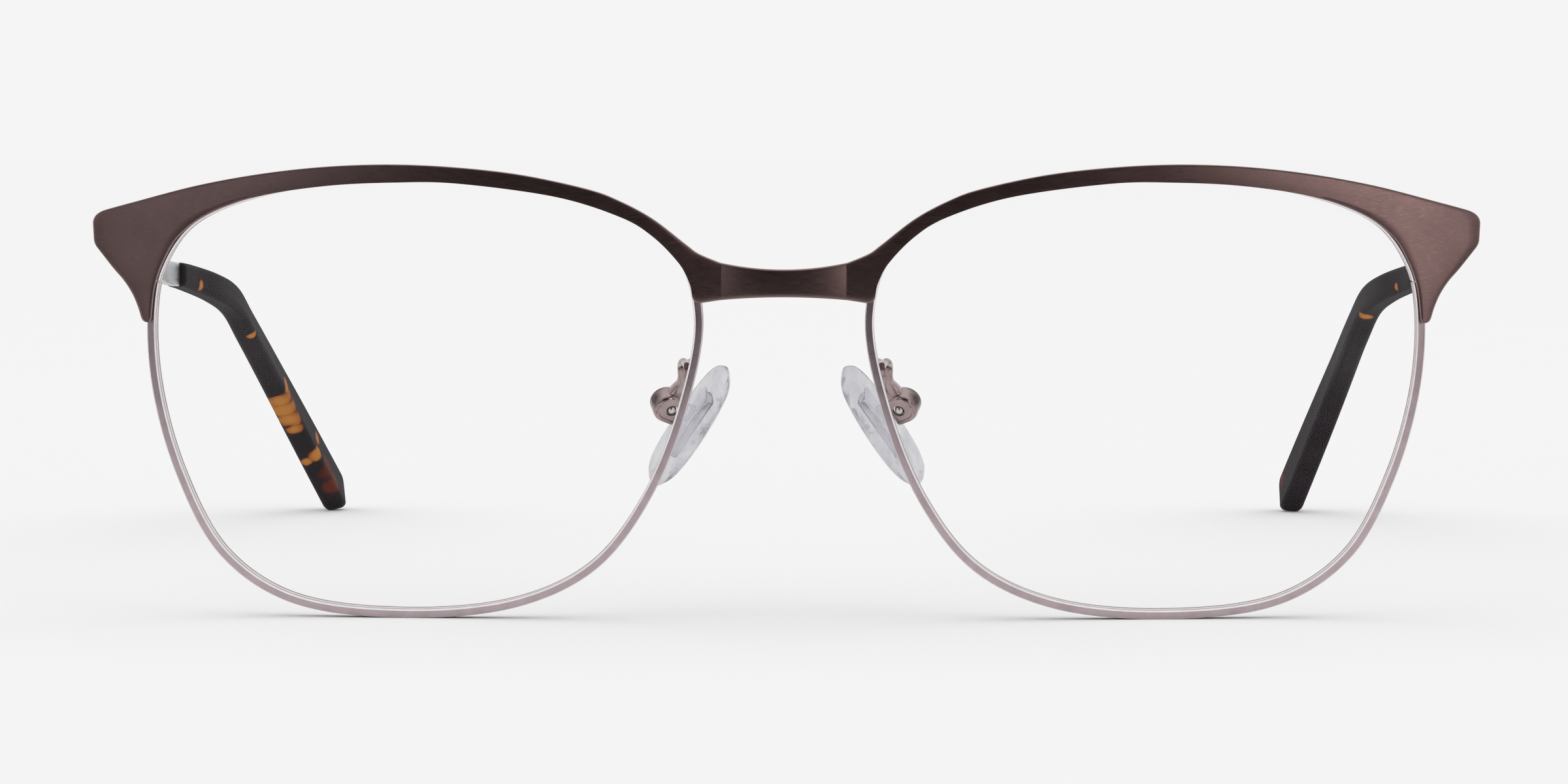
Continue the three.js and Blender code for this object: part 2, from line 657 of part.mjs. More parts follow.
const pairedPieces = {
  eyewire: [eyewire, mauveMetal],
  lens: [lens, clearLens],
  rim_lock_upper: [() => lockBlock(LOCK.gap / 2, LOCK.height), mauveMetal],
  rim_lock_lower: [() => lockBlock(-LOCK.height, -LOCK.gap / 2), mauveMetal],
  rim_lock_screw: [lockScrew, screwSteel],
  endpiece: [endpiece, brownMetal],
  front_hinge: [frontHinge, steel],
  temple_hinge: [templeHinge, steel],
  hinge_screw: [hingeScrew, screwSteel],
  pad_arm: [padArm, mauveMetal],
  pad_box: [padBox, mauveMetal],
  pad_screw: [padScrew, screwSteel],
  nose_pad: [nosePad, silicone],
  pad_core: [padCore, padPlastic],
};

addPiece('brow_plate', browPlate(), brownMetal);
for (const [name, [make, finish]] of Object.entries(pairedPieces)) {
  const geometry = make();
  addPiece(`${name}_left`, geometry, finish);
  addPiece(`${name}_right`, mirrored(geometry), finish);
}

for (const side of ['left', 'right']) {
  const place = (geometry) => (side === 'left' ? geometry : mirrored(geometry));
  addPiece(`temple_arm_${side}`, place(templeArm(side)), steel);
  addPiece(`temple_tip_${side}`, place(fromManifold(templeTip(side))), tortoise);
}

export default glasses;
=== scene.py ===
"""Browline eyeglasses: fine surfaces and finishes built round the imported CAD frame.

Shapes are worked out in millimetres in the front's own coordinates, where y = 0 is the front
of the eyewires at the middle of the eye, and placed in the frame at the end.
"""

import json
import math

import bmesh
import bpy
import numpy as np
from mathutils import Matrix, Vector


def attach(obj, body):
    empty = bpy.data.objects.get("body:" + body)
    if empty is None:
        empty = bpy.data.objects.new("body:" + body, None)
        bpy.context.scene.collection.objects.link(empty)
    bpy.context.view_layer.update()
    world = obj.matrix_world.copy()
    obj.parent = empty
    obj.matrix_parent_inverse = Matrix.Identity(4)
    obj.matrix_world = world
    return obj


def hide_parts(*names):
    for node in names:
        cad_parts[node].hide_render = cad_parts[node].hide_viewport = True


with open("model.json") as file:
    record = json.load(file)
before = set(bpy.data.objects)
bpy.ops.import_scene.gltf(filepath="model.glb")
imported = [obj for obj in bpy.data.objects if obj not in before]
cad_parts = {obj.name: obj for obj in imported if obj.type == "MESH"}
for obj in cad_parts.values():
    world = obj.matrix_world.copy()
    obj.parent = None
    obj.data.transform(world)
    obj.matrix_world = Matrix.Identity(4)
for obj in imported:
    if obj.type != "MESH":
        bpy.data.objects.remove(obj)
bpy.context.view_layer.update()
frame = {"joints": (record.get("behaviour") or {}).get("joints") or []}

# ---------------------------------------------------------------- driving dimensions, in mm

FRONT_TILT = math.radians(2.0)
FRONT_WRAP = math.radians(4.0)
BASE_RADIUS = 190.0
EYE_X = 36.3
EYE_Z = 22.5

PLATE_THICKNESS = 1.0
PLATE_GAP = 0.08
PLATE_EDGE = 0.16           # rounding of the front edges
PLATE_BACK_EDGE = 0.08      # rounding of the rear edges
PLATE_CROWN = 0.03          # how far the middle of the section stands in front of its edges
CREASE_X = 6.3
ARCH_RADIUS = 30.0

RIM_WIDTH = 0.9
RIM_DEPTH = 2.1
RIM_ROUND = 0.14
RIM_BEVEL = 0.18
GROOVE_DEPTH = 0.42
GROOVE_HALF = 0.45
RIM_SPLIT = 0.1
LOCK_Z = 33.3
LOCK_OUT, LOCK_DEPTH, LOCK_WIDTH, LOCK_HEIGHT, LOCK_GAP = 1.8, 3.9, 1.6, 1.2, 0.1
LOCK_SET_BACK = 0.35
LOCK_EDGE = 0.22

LENS_FRONT = 0.35
LENS_BACK = 1.75
LENS_BEVEL = 0.28
LENS_PLAY = 0.04            # between the lens edge and the inside of the rim

HINGE = Vector((66.2, 8.2, 37.3))
TEMPLE_DROP = math.radians(4.23)
BARREL_RADIUS = 0.95
BARREL_HALF = 0.65
BARREL_END = 1.7
BARREL_PLAY = 0.06
LEAF_X = 0.65
LEAF_THICKNESS = 0.6
PIN_RADIUS = 0.45
PIN_BORE = 0.5
SHANK_EDGE = 0.12
HEAD_RADIUS = 0.8
HEAD_EDGE = 0.14
SLOT_WIDTH = 0.26
SLOT_DEPTH = 0.36

ARM_THICKNESS = 1.2
ARM_HEIGHT = 2.7
TIP_THICKNESS = 2.55
TIP_HEIGHT = 2.8
TIP_END_THICKNESS = 2.9
TIP_END_HEIGHT = 5.2
TIP_CORNER = 0.75
TIP_MOUTH = 0.5             # length of the rounded mouth
SLEEVE_START = 0.475        # where the tip starts, as a part of the temple's length
SLEEVE_LAP = 0.004          # how far the arm runs on inside it

PAD_LENGTH = 14.6
PAD_WIDTH = 6.7
PAD_THICKNESS = 2.7
PAD_TAPER = 0.12
PAD_SQUARENESS = 0.65       # 1 for an ellipse, less for fuller corners
PAD_TURN = 0.23
POST_Z = 1.25
BOX_Y = -3.6
BOX_RADIUS = 1.6
BOX_DEPTH = 2.2
BOX_FOOT = -1.0
BOX_BORE = 0.62
WIRE_WIDTH = 1.35
WIRE_THICKNESS = 0.85
FLARE_START = 0.66          # where the pad arm starts to widen, as a part of its length

EYE_SHAPE = [
    (62.9, 30.8), (62.6, 23.2), (60.2, 14.2), (56.0, 6.4), (49.6, 2.1), (38.0, 0.65),
    (26.4, 1.95), (19.3, 5.5), (14.3, 11.9), (10.5, 21.2), (8.95, 30.2), (10.9, 36.2),
    (18.0, 40.75), (28.0, 42.9), (38.8, 43.4), (51.0, 42.1), (59.0, 38.9), (62.0, 34.8),
]
TEMPLE_LINE = [
    (67.85, 8.6, 37.25), (69.9, 45, 34.57), (72.1, 70, 32.58), (71.2, 80, 31.7),
    (69.2, 89, 30.15), (68.2, 97, 28.4), (67.6, 106, 24.9),
]
TIP_LINE = {
    "left": [(66.8, 124, 17.6), (62.85, 142.6, 2.42)],
    "right": [(65.9, 124, 16.6), (61.25, 142.6, 2.45)],
}
TIP_LEAN = {"left": 6.5, "right": 13.8}     # degrees that the section leans out by
LEAN_START_Y, LEAN_END_Y = 74, 106

MM = 0.001
SHARP = math.radians(32)    # edges steeper than this stay sharp in the shading
left_fold = next(j for j in frame["joints"] if j["name"] == "temple_fold_left")
ORIGIN = Vector(left_fold["pos_m"]) / MM - HINGE     # the front's y = 0 plane, in the frame
TO_FRAME = Matrix.Scale(MM, 4) @ Matrix.Translation(ORIGIN)

# ---------------------------------------------------------------- curves


def unit(v):
    return v / np.linalg.norm(v, axis=-1, keepdims=True)


class Curve:
    """Centripetal Catmull-Rom curve through points, read by part of its length."""

    def __init__(self, points, closed=False):
        points = np.array(points, float)
        if closed:
            ring = np.vstack([points[-1:], points, points[:2]])
        else:
            first = 2 * points[0] - points[1]
            last = 2 * points[-1] - points[-2]
            ring = np.vstack([[first], points, [last]])
        p0, p1, p2, p3 = ring[:-3], ring[1:-2], ring[2:-1], ring[3:]
        d0, d1, d2 = (np.sqrt(np.linalg.norm(b - a, axis=1))[:, None]
                      for a, b in ((p0, p1), (p1, p2), (p2, p3)))
        start = ((p1 - p0) / d0 - (p2 - p0) / (d0 + d1) + (p2 - p1) / d1) * d1
        end = ((p2 - p1) / d1 - (p3 - p1) / (d1 + d2) + (p3 - p2) / d2) * d1
        self.terms = [p1, start, 3 * (p2 - p1) - 2 * start - end, 2 * (p1 - p2) + start + end]
        self.spans = len(p1)
        self.closed = closed
        self.table = np.linspace(0, self.spans, 60 * self.spans + 1)
        steps = np.linalg.norm(np.diff(self.place(self.table), axis=0), axis=1)
        self.lengths = np.concatenate([[0], np.cumsum(steps)])
        self.length = self.lengths[-1]

    def place(self, t):
        span = np.clip(np.floor(t).astype(int), 0, self.spans - 1)
        s = (t - span)[:, None]
        a, b, c, d = (term[span] for term in self.terms)
        return a + s * (b + s * (c + s * d))

    def at(self, u):
        u = np.atleast_1d(np.asarray(u, float))
        u = u % 1.0 if self.closed else np.clip(u, 0, 1)
        return self.place(np.interp(u * self.length, self.lengths, self.table))

    def along(self, u):
        u = np.atleast_1d(np.asarray(u, float))
        step = 1e-4
        if self.closed:
            return unit(self.at(u + step) - self.at(u - step))
        return unit(self.at(np.minimum(u + step, 1)) - self.at(np.maximum(u - step, 0)))


def spline(points, count):
    """Uniform Catmull-Rom line through flat points."""
    points = np.array(points, float)
    t = np.linspace(0, len(points) - 1, count)
    i = np.minimum(t.astype(int), len(points) - 2)
    s = (t - i)[:, None]
    p0, p1 = points[np.maximum(i - 1, 0)], points[i]
    p2, p3 = points[i + 1], points[np.minimum(i + 2, len(points) - 1)]
    v0, v1 = (p2 - p0) / 2, (p3 - p1) / 2
    return p1 + s * (v0 + s * (3 * (p2 - p1) - 2 * v0 - v1 + s * (2 * (p1 - p2) + v0 + v1)))


def bend(start, control, end):
    """Corner rounded by a quadratic curve."""
    t = np.linspace(0, 1, 40)[:, None]
    start, control, end = (np.array(p, float) for p in (start, control, end))
    return (1 - t) ** 2 * start + 2 * t * (1 - t) * control + t ** 2 * end


def eased(value, start, end):
    """0 before start, 1 after end, and a smooth step between them."""
    t = np.clip((value - start) / (end - start), 0, 1)
    return t * t * (3 - 2 * t)


def even(points, parts):
    """Points of a dense line at the given parts of its length."""
    steps = np.linalg.norm(np.diff(points, axis=0), axis=1)
    lengths = np.concatenate([[0], np.cumsum(steps)])
    wanted = np.asarray(parts) * lengths[-1]
    return np.stack([np.interp(wanted, lengths, column) for column in points.T], axis=1)


# ---------------------------------------------------------------- mesh helpers


def mesh_from_rings(name, rings, apexes=(None, None)):
    """Closed mesh through rings of equal point counts, with its faces pointing out. Each end
    is a flat cap, or a fan to its apex."""
    rings = np.array(rings, float)
    count, around = rings.shape[:2]
    points = list(rings.reshape(-1, 3))
    faces = []
    for a in range(0, (count - 1) * around, around):
        for i in range(around):
            j = (i + 1) % around
            faces.append((a + i, a + j, a + around + j, a + around + i))
    first_loop = list(range(around))[::-1]
    last_loop = [(count - 1) * around + i for i in range(around)]
    for apex, loop in zip(apexes, (first_loop, last_loop)):
        if apex is None:
            faces.append(tuple(loop))
            continue
        points.append(np.array(apex, float))
        top = len(points) - 1
        faces.extend((loop[i], loop[(i + 1) % around], top) for i in range(around))
    mesh = bpy.data.meshes.new(name)
    mesh.from_pydata([tuple(p) for p in points], [], faces)
    return outward(mesh)


def outward(mesh):
    """Turns the faces of a closed mesh outwards."""
    mesh.update()
    work = bmesh.new()
    work.from_mesh(mesh)
    if work.calc_volume(signed=True) < 0:
        bmesh.ops.reverse_faces(work, faces=work.faces[:])
    work.to_mesh(mesh)
    work.free()
    return mesh


def rounded_section(out, up, radius, steps=6, fill=0):
    """Rounded rectangle as [out, up] points, with `fill` extra points on each straight side."""
    points = []
    corners = [(1, 1, 0), (-1, 1, 90), (-1, -1, 180), (1, -1, 270)]
    for index, (side, rise, turn) in enumerate(corners):
        centre = np.array([side * (out - radius), rise * (up - radius)])
        for i in range(steps + 1):
            angle = math.radians(turn + 90 * i / steps)
            points.append(centre + radius * np.array([math.cos(angle), math.sin(angle)]))
        following = corners[(index + 1) % 4]
        angle = math.radians(following[2])
        target = np.array([following[0] * (out - radius), following[1] * (up - radius)])
        target = target + radius * np.array([math.cos(angle), math.sin(angle)])
        for i in range(1, fill + 1):
            points.append(points[-1] + (target - points[-1]) / (fill + 2 - i))
    return np.array(points)


def sweep(places, outs, ups, sections):
    """Rings of [out, up] sections set across a line; one section for all or one for each."""
    rings = []
    for i, place in enumerate(places):
        section = sections[i] if isinstance(sections, list) else sections
        rings.append(place + section[:, :1] * outs[i] + section[:, 1:] * ups[i])
    return rings


def lathe(name, profile):
    """Solid of revolution about Z from [radius, z] points that start and end on the axis."""
    turns = np.linspace(0, 2 * math.pi, 48, endpoint=False)
    rings = [[(r * math.cos(t), r * math.sin(t), z) for t in turns] for r, z in profile[1:-1]]
    return mesh_from_rings(name, rings, apexes=((0, 0, profile[0][1]), (0, 0, profile[-1][1])))


def quarter(steps):
    """Sine and cosine pairs from 0 to 90 degrees."""
    return [(math.sin(math.pi / 2 * i / steps), math.cos(math.pi / 2 * i / steps))
            for i in range(steps + 1)]


def bar(name, radius, low, high, edge=0.0):
    """Cylinder along Z, with both ends rounded over by `edge`."""
    profile = [(0, low)]
    if edge:
        profile += [(radius - edge * (1 - sin), low + edge * (1 - cos))
                    for sin, cos in quarter(4)]
        profile += [(radius - edge * (1 - cos), high - edge * (1 - sin))
                    for sin, cos in quarter(4)]
    else:
        profile += [(radius, low), (radius, high)]
    return lathe(name, profile + [(0, high)])


def pin_bore():
    """Cutter for the hole of a pin along Z."""
    return bar("bore", PIN_BORE, -4, 4)


def block(name, size, centre=(0, 0, 0), radius=0.0):
    """Box with rounded edges."""
    mesh = bpy.data.meshes.new(name)
    work = bmesh.new()
    bmesh.ops.create_cube(work, size=1)
    bmesh.ops.scale(work, vec=size, verts=work.verts)
    bmesh.ops.translate(work, vec=centre, verts=work.verts)
    if radius:
        bmesh.ops.bevel(work, geom=work.edges[:], offset=radius, segments=3,
                        profile=0.5, affect="EDGES")
    work.to_mesh(mesh)
    work.free()
    return mesh


def moved(mesh, matrix):
    mesh.transform(matrix)
    mesh.update()
    return mesh


def combined(base, *steps):
    """Joins or cuts meshes in order: each step is ("UNION" or "DIFFERENCE", mesh)."""
    holder = bpy.data.objects.new("holder", base)
    bpy.context.scene.collection.objects.link(holder)
    tools = []
    for operation, tool_mesh in steps:
        tool = bpy.data.objects.new("tool", tool_mesh)
        bpy.context.scene.collection.objects.link(tool)
        tools.append(tool)
        modifier = holder.modifiers.new(operation.lower(), "BOOLEAN")
        modifier.operation = operation
        modifier.solver = "EXACT"
        modifier.object = tool
    bpy.context.view_layer.update()
    result = bpy.data.meshes.new_from_object(
        holder.evaluated_get(bpy.context.evaluated_depsgraph_get()))
    for thing in [holder, *tools]:
        bpy.data.objects.remove(thing)
    return result


def mirrored(mesh):
    copy = mesh.copy()
    copy.transform(Matrix.Scale(-1, 4, (1, 0, 0)))
    copy.flip_normals()
    return copy


def add_piece(node, mesh, material, body):
    """Places a finished mesh in the frame as the piece that stands for a CAD node."""
    piece = bpy.data.objects.new(f"{node}_fine", mesh)
    bpy.context.scene.collection.objects.link(piece)
    mesh.transform(TO_FRAME)
    mesh.shade_smooth()
    mesh.set_sharp_from_angle(angle=SHARP)
    mesh.materials.clear()
    mesh.materials.append(material)
    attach(piece, body)
    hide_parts(node)
    return piece


def add_pair(node, mesh, material, body="front"):
    """The left piece, and its mirror image on the right."""
    other = mirrored(mesh)
    pieces = []
    for side, part in (("left", mesh), ("right", other)):
        rides_on = body if body == "front" else f"{body}_{side}"
        pieces.append(add_piece(f"{node}_{side}", part, material, rides_on))
    return pieces


# ---------------------------------------------------------------- the front's curved surface


def on_front(x, z, back):
    """Points on the front's surface, set back from the front of the eyewires; the surface
    runs straight across between the two creases of the bridge."""
    x, z, back = (np.asarray(v, float) for v in (x, z, back))
    side = np.maximum(np.abs(x), CREASE_X) - EYE_X
    y = side * math.tan(FRONT_WRAP) + (side ** 2 + (z - EYE_Z) ** 2) / (2 * BASE_RADIUS) + back
    cos, sin = math.cos(FRONT_TILT), math.sin(FRONT_TILT)
    return np.stack([x + 0 * y, y * cos - z * sin, y * sin + z * cos], axis=-1)


eye_curve = Curve([(x, 0, z) for x, z in EYE_SHAPE], closed=True)
lock_turn = -(LOCK_Z - EYE_SHAPE[0][1]) / eye_curve.length


def eye_station(u):
    """Flat places on the eye shape and their outward directions, as x-z pairs."""
    place = eye_curve.at(u)[:, [0, 2]]
    along = eye_curve.along(u)
    return place, np.stack([-along[:, 2], along[:, 0]], axis=1)


def eye_ring(u, section):
    """Rings of an [out, back] section round the eye shape."""
    place, outward_way = eye_station(u)
    rings = []
    for p, n in zip(place, outward_way):
        flat = p + section[:, :1] * n
        rings.append(on_front(flat[:, 0], flat[:, 1], section[:, 1]))
    return rings


# ---------------------------------------------------------------- front pieces


def arch_forward(x):
    """Depth of the bridge's arch, below 0 where it stands in front of the creases."""
    inside = np.minimum(np.abs(x), CREASE_X)
    return math.sqrt(ARCH_RADIUS ** 2 - CREASE_X ** 2) - np.sqrt(ARCH_RADIUS ** 2 - inside ** 2)


def plate_edges():
    """Upper and lower edge points of the left half of the brow plate, from the middle out."""
    across = np.linspace(0, CREASE_X, 41)
    bridge_top = np.stack([across, 34.8 + 0.64 * (across / CREASE_X) ** 2], axis=1)
    bridge_low = np.stack([across, 32.09 - 0.33 * (across / CREASE_X) ** 2], axis=1)
    outer = np.vstack([
        spline([(CREASE_X, 35.44), (8.41, 36.33), (9.7, 37.27), (12.93, 39.77), (16.15, 41.52),
                (19.38, 42.72), (25.84, 44.11), (32.32, 44.85), (38.82, 45.13), (45.36, 44.9),
                (51.94, 44.17), (58.59, 42.95), (65.3, 41.2), (67.9, 40.49)], 800),
        bend((67.9, 40.49), (69.25, 40.12), (69.34, 39.2)),
        bend((69.24, 37.5), (69.2, 37.05), (68.9, 36.68)),
        spline([(68.9, 36.68), (67.27, 34.7), (66.12, 33.42), (65.25, 32.12), (64.68, 30.83),
                (64.36, 29.8)], 200),
        bend((64.36, 29.8), (64.2, 29.28), (63.75, 29.28)),
    ])
    inner = np.vstack([
        [(CREASE_X, 31.76), (8.2, 31.48)],
        bend((8.2, 31.48), (8.95, 31.42), (9.06, 32.1)),
        spline([(9.06, 32.1), (9.31, 33.37), (10.35, 35.37), (12.93, 38.02), (16.15, 39.96),
                (22.61, 41.97), (32.32, 43.26), (38.82, 43.34), (45.36, 42.99), (51.94, 41.99),
                (57.03, 40.34), (60.32, 38.04), (62.0, 35.42), (62.92, 32.81),
                (63.27, 30.2)], 800),
        bend((63.27, 30.2), (63.28, 29.3), (63.55, 29.28)),
    ])
    just_past_crease = 0.0006
    parts = np.concatenate([[just_past_crease], np.linspace(0, 1, 340)[1:]])
    return (np.vstack([bridge_top, even(outer, parts)]),
            np.vstack([bridge_low, even(inner, parts)]))


def plate_section(width):
    """[across, depth] points of the plate's section, counted from the lower front edge."""
    front = min(PLATE_EDGE, 0.45 * width)
    rear = min(PLATE_BACK_EDGE, 0.45 * width)
    points = [(s, PLATE_CROWN * (2 * s / width - 1) ** 2)
              for s in np.linspace(front, width - front, 9)]
    points += [(width - front + front * sin, PLATE_CROWN + front * (1 - cos))
               for sin, cos in quarter(6)[1:]]
    points += [(width - rear * (1 - cos), PLATE_THICKNESS - rear * (1 - sin))
               for sin, cos in quarter(3)]
    points += [(s, PLATE_THICKNESS) for s in np.linspace(width - rear, rear, 5)[1:-1]]
    points += [(rear * (1 - sin), PLATE_THICKNESS - rear * (1 - cos)) for sin, cos in quarter(3)]
    points += [(front * (1 - cos), PLATE_CROWN + front * (1 - sin))
               for sin, cos in quarter(6)[:-1]]
    return np.array(points)


def brow_plate():
    """Rings of the plate's section from the middle out, and their mirror images."""
    tops, lows = plate_edges()
    half = []
    for top, low in zip(tops, lows):
        width = np.linalg.norm(top - low)
        section = plate_section(width)
        flat = low + section[:, :1] / width * (top - low)
        depth = section[:, 1] - PLATE_THICKNESS - PLATE_GAP + arch_forward(flat[:, 0])
        half.append(on_front(flat[:, 0], flat[:, 1], depth))
    other = [ring * np.array([-1, 1, 1]) for ring in half[:0:-1]]
    return mesh_from_rings("brow_plate_fine", other + half)


def rim_section():
    """[out, back] points of the eyewire's section: a bevel on the inner front edge, which the
    rim's material lightens with a painted highlight, and the lens groove on the inside."""
    points = []
    corners = [(RIM_WIDTH, 0, -90), (RIM_WIDTH, RIM_DEPTH, 0), (0, RIM_DEPTH, 90)]
    for out, back, turn in corners:
        centre = (abs(out - RIM_ROUND), abs(back - RIM_ROUND))
        for i in range(7):
            a = math.radians(turn + 90 * i / 6)
            points.append((centre[0] + RIM_ROUND * math.cos(a),
                           centre[1] + RIM_ROUND * math.sin(a)))
    middle = RIM_DEPTH / 2
    points += [(0, middle + GROOVE_HALF + 0.05), (0.05, middle + GROOVE_HALF - 0.05),
               (GROOVE_DEPTH, middle + 0.06), (GROOVE_DEPTH, middle - 0.06),
               (0.05, middle - GROOVE_HALF + 0.05), (0, middle - GROOVE_HALF - 0.05)]
    points += [(0, RIM_BEVEL + 0.02), (0.02, RIM_BEVEL - 0.02), (RIM_BEVEL - 0.03, 0.03),
               (RIM_BEVEL, 0.0), (RIM_BEVEL + 0.04, 0.0)]
    return np.array(points)


def eyewire():
    """Rim all the way round the eye shape, but for the slit at its lock."""
    slit = RIM_SPLIT / eye_curve.length
    u = lock_turn + slit + (1 - 2 * slit) * np.linspace(0, 1, 420)
    return mesh_from_rings("eyewire_fine", eye_ring(u, rim_section()))


def lens():
    """Curved lens with a bevel round its edge that sits in the groove."""
    edge = -LENS_PLAY
    middle = (LENS_FRONT + LENS_BACK) / 2
    u = np.linspace(0, 1, 240, endpoint=False)
    place, way = eye_station(u)
    centre = np.array([EYE_X, EYE_Z])
    layers = [(s, 0, LENS_FRONT) for s in (0.12, 0.3, 0.5, 0.7, 0.85, 0.95)]
    layers += [(1, edge - 0.05, LENS_FRONT), (1, edge, LENS_FRONT + 0.05)]
    layers += [(1, edge, middle - LENS_BEVEL - 0.1), (1, LENS_BEVEL, middle - 0.03),
               (1, LENS_BEVEL, middle + 0.03), (1, edge, middle + LENS_BEVEL + 0.1)]
    layers += [(1, edge, LENS_BACK - 0.05), (1, edge - 0.05, LENS_BACK)]
    layers += [(s, 0, LENS_BACK) for s in (0.95, 0.85, 0.7, 0.5, 0.3, 0.12)]
    rings = []
    for size, out, back in layers:
        flat = centre + size * (place + out * way - centre)
        rings.append(on_front(flat[:, 0], flat[:, 1], back))
    apexes = (on_front(EYE_X, EYE_Z, LENS_FRONT), on_front(EYE_X, EYE_Z, LENS_BACK))
    return mesh_from_rings("lens_fine", rings, apexes=apexes)


# ---------------------------------------------------------------- rim lock

PLATE_UP = np.array([0, -math.sin(FRONT_TILT), math.cos(FRONT_TILT)])


def frame_matrix(origin, x_axis, z_axis):
    """Matrix of a frame from its origin and its X and Z directions."""
    z = Vector(z_axis).normalized()
    x = Vector(x_axis)
    x = (x - z * x.dot(z)).normalized()
    y = z.cross(x)
    matrix = Matrix((x, y, z)).transposed().to_4x4()
    return Matrix.Translation(Vector(origin)) @ matrix


def lock_frame():
    """Frame at the rim lock: X outwards, Y back, Z up along the eyewire."""

    def beside(turn, out, back):
        place, way = eye_station(turn)
        x, z = place[0] + out * way[0]
        return on_front(x, z, back)

    origin = beside(lock_turn, LOCK_OUT, LOCK_SET_BACK + LOCK_DEPTH / 2)
    out = beside(lock_turn, LOCK_OUT + 1, 2) - beside(lock_turn, LOCK_OUT, 2)
    rise = beside(lock_turn - 0.004, LOCK_OUT, 2) - beside(lock_turn + 0.004, LOCK_OUT, 2)
    return frame_matrix(origin, out, rise)


def lock_block(low, high):
    """One half of the lock between two heights, with the hole for its screw."""
    body = block("lock", (LOCK_WIDTH, LOCK_DEPTH, high - low), (0, 0, (low + high) / 2),
                 LOCK_EDGE)
    return moved(combined(body, ("DIFFERENCE", pin_bore())), lock_frame())


def slotted_screw(name, shank_low, shank_high, head_low, head_high, head_radius, head_up=True):
    """Screw along Z with a low round-edged head and a straight driver slot."""
    shank = bar(name, PIN_RADIUS, shank_low, shank_high, SHANK_EDGE)
    head = bar(name + "_head", head_radius, head_low, head_high, HEAD_EDGE)
    face = head_high if head_up else head_low
    slot = block(name + "_slot", (3, SLOT_WIDTH, SLOT_DEPTH), (0, 0, face))
    return combined(shank, ("UNION", head), ("DIFFERENCE", slot))


# ---------------------------------------------------------------- endpiece and hinge

HINGE_AXIS = Vector((0, math.sin(TEMPLE_DROP), math.cos(TEMPLE_DROP)))
hinge_frame = frame_matrix(HINGE, (1, 0, 0), HINGE_AXIS)
LEG_X = BARREL_RADIUS + 0.1 + ARM_THICKNESS / 2


def endpiece():
    """Flat strap from behind the brow plate, bent back to the hinge."""
    behind = ARM_THICKNESS / 2 + 0.15
    line = Curve([
        on_front(63.7, HINGE.z, behind), on_front(65.4, HINGE.z, behind),
        on_front(66.8, HINGE.z, behind + 0.2), hinge_frame @ Vector((LEG_X, -1.4, 0)),
        hinge_frame @ Vector((LEG_X, -0.15, 0)),
    ])
    u = np.linspace(0, 1, 60)
    along = line.along(u)
    up = (1 - u[:, None]) * PLATE_UP + u[:, None] * np.array(HINGE_AXIS)
    up = unit(up - along * np.sum(up * along, axis=1, keepdims=True))
    out = np.cross(up, along)
    section = rounded_section(ARM_THICKNESS / 2, ARM_HEIGHT / 2, 0.28)
    return mesh_from_rings("endpiece_fine", sweep(line.at(u), out, up, section))


def barrel(low, high, way):
    """Barrel between two heights, and the block that joins it to its leaf."""
    tube = bar("barrel", BARREL_RADIUS, low, high, 0.1)
    knuckle = block("knuckle", (LEAF_THICKNESS, 1.9, high - low - 0.02),
                    (LEAF_X, way * 0.95, (low + high) / 2), 0.08)
    return tube, knuckle


def front_hinge():
    """Upper and lower barrels, and the leaf that joins them to the endpiece."""
    upper, upper_knuckle = barrel(BARREL_HALF + BARREL_PLAY, BARREL_END, -0.9)
    lower, lower_knuckle = barrel(-BARREL_END, -BARREL_HALF - BARREL_PLAY, -0.9)
    leaf = block("leaf", (LEAF_THICKNESS, 0.55, 2 * BARREL_END), (LEAF_X, -1.38, 0), 0.06)
    hinge = combined(leaf, ("UNION", upper_knuckle), ("UNION", lower_knuckle),
                     ("UNION", upper), ("UNION", lower), ("DIFFERENCE", pin_bore()))
    return moved(hinge, hinge_frame)


def temple_hinge():
    """Middle barrel, and the leaf that joins it to the temple arm."""
    tube, knuckle = barrel(-BARREL_HALF, BARREL_HALF, 1)
    leaf = block("leaf", (LEAF_THICKNESS, 3.4, 2.3), (LEAF_X, 2.85, 0), 0.1)
    hinge = combined(leaf, ("UNION", knuckle), ("UNION", tube), ("DIFFERENCE", pin_bore()))
    return moved(hinge, hinge_frame)


def hinge_screw():
    """Screw down through the three barrels, as their pin."""
    screw = slotted_screw("hinge_screw", -BARREL_END - 0.1, BARREL_END + 0.2,
                          BARREL_END + 0.06, BARREL_END + 0.5, HEAD_RADIUS)
    return moved(screw, hinge_frame)


# ---------------------------------------------------------------- temples


def temple_stations(side, u):
    """Places on the temple's line with the out, up and along directions of its section."""
    curve = Curve(TEMPLE_LINE + TIP_LINE[side])
    place, along = curve.at(u), curve.along(u)
    angle = np.radians(eased(place[:, 1], LEAN_START_Y, LEAN_END_Y) * TIP_LEAN[side])
    up = np.stack([np.sin(angle), 0 * angle, np.cos(angle)], axis=1)
    up = unit(up - along * np.sum(up * along, axis=1, keepdims=True))
    return place, -np.cross(up, along), up, along


def temple_arm(side):
    """Flat metal strip that ends inside the mouth of the acetate tip."""
    u = np.linspace(0, SLEEVE_START + SLEEVE_LAP, 160)
    place, out, up, _ = temple_stations(side, u)
    section = rounded_section(ARM_THICKNESS / 2, ARM_HEIGHT / 2, 0.26)
    return mesh_from_rings(f"temple_arm_{side}", sweep(place, out, up, section))


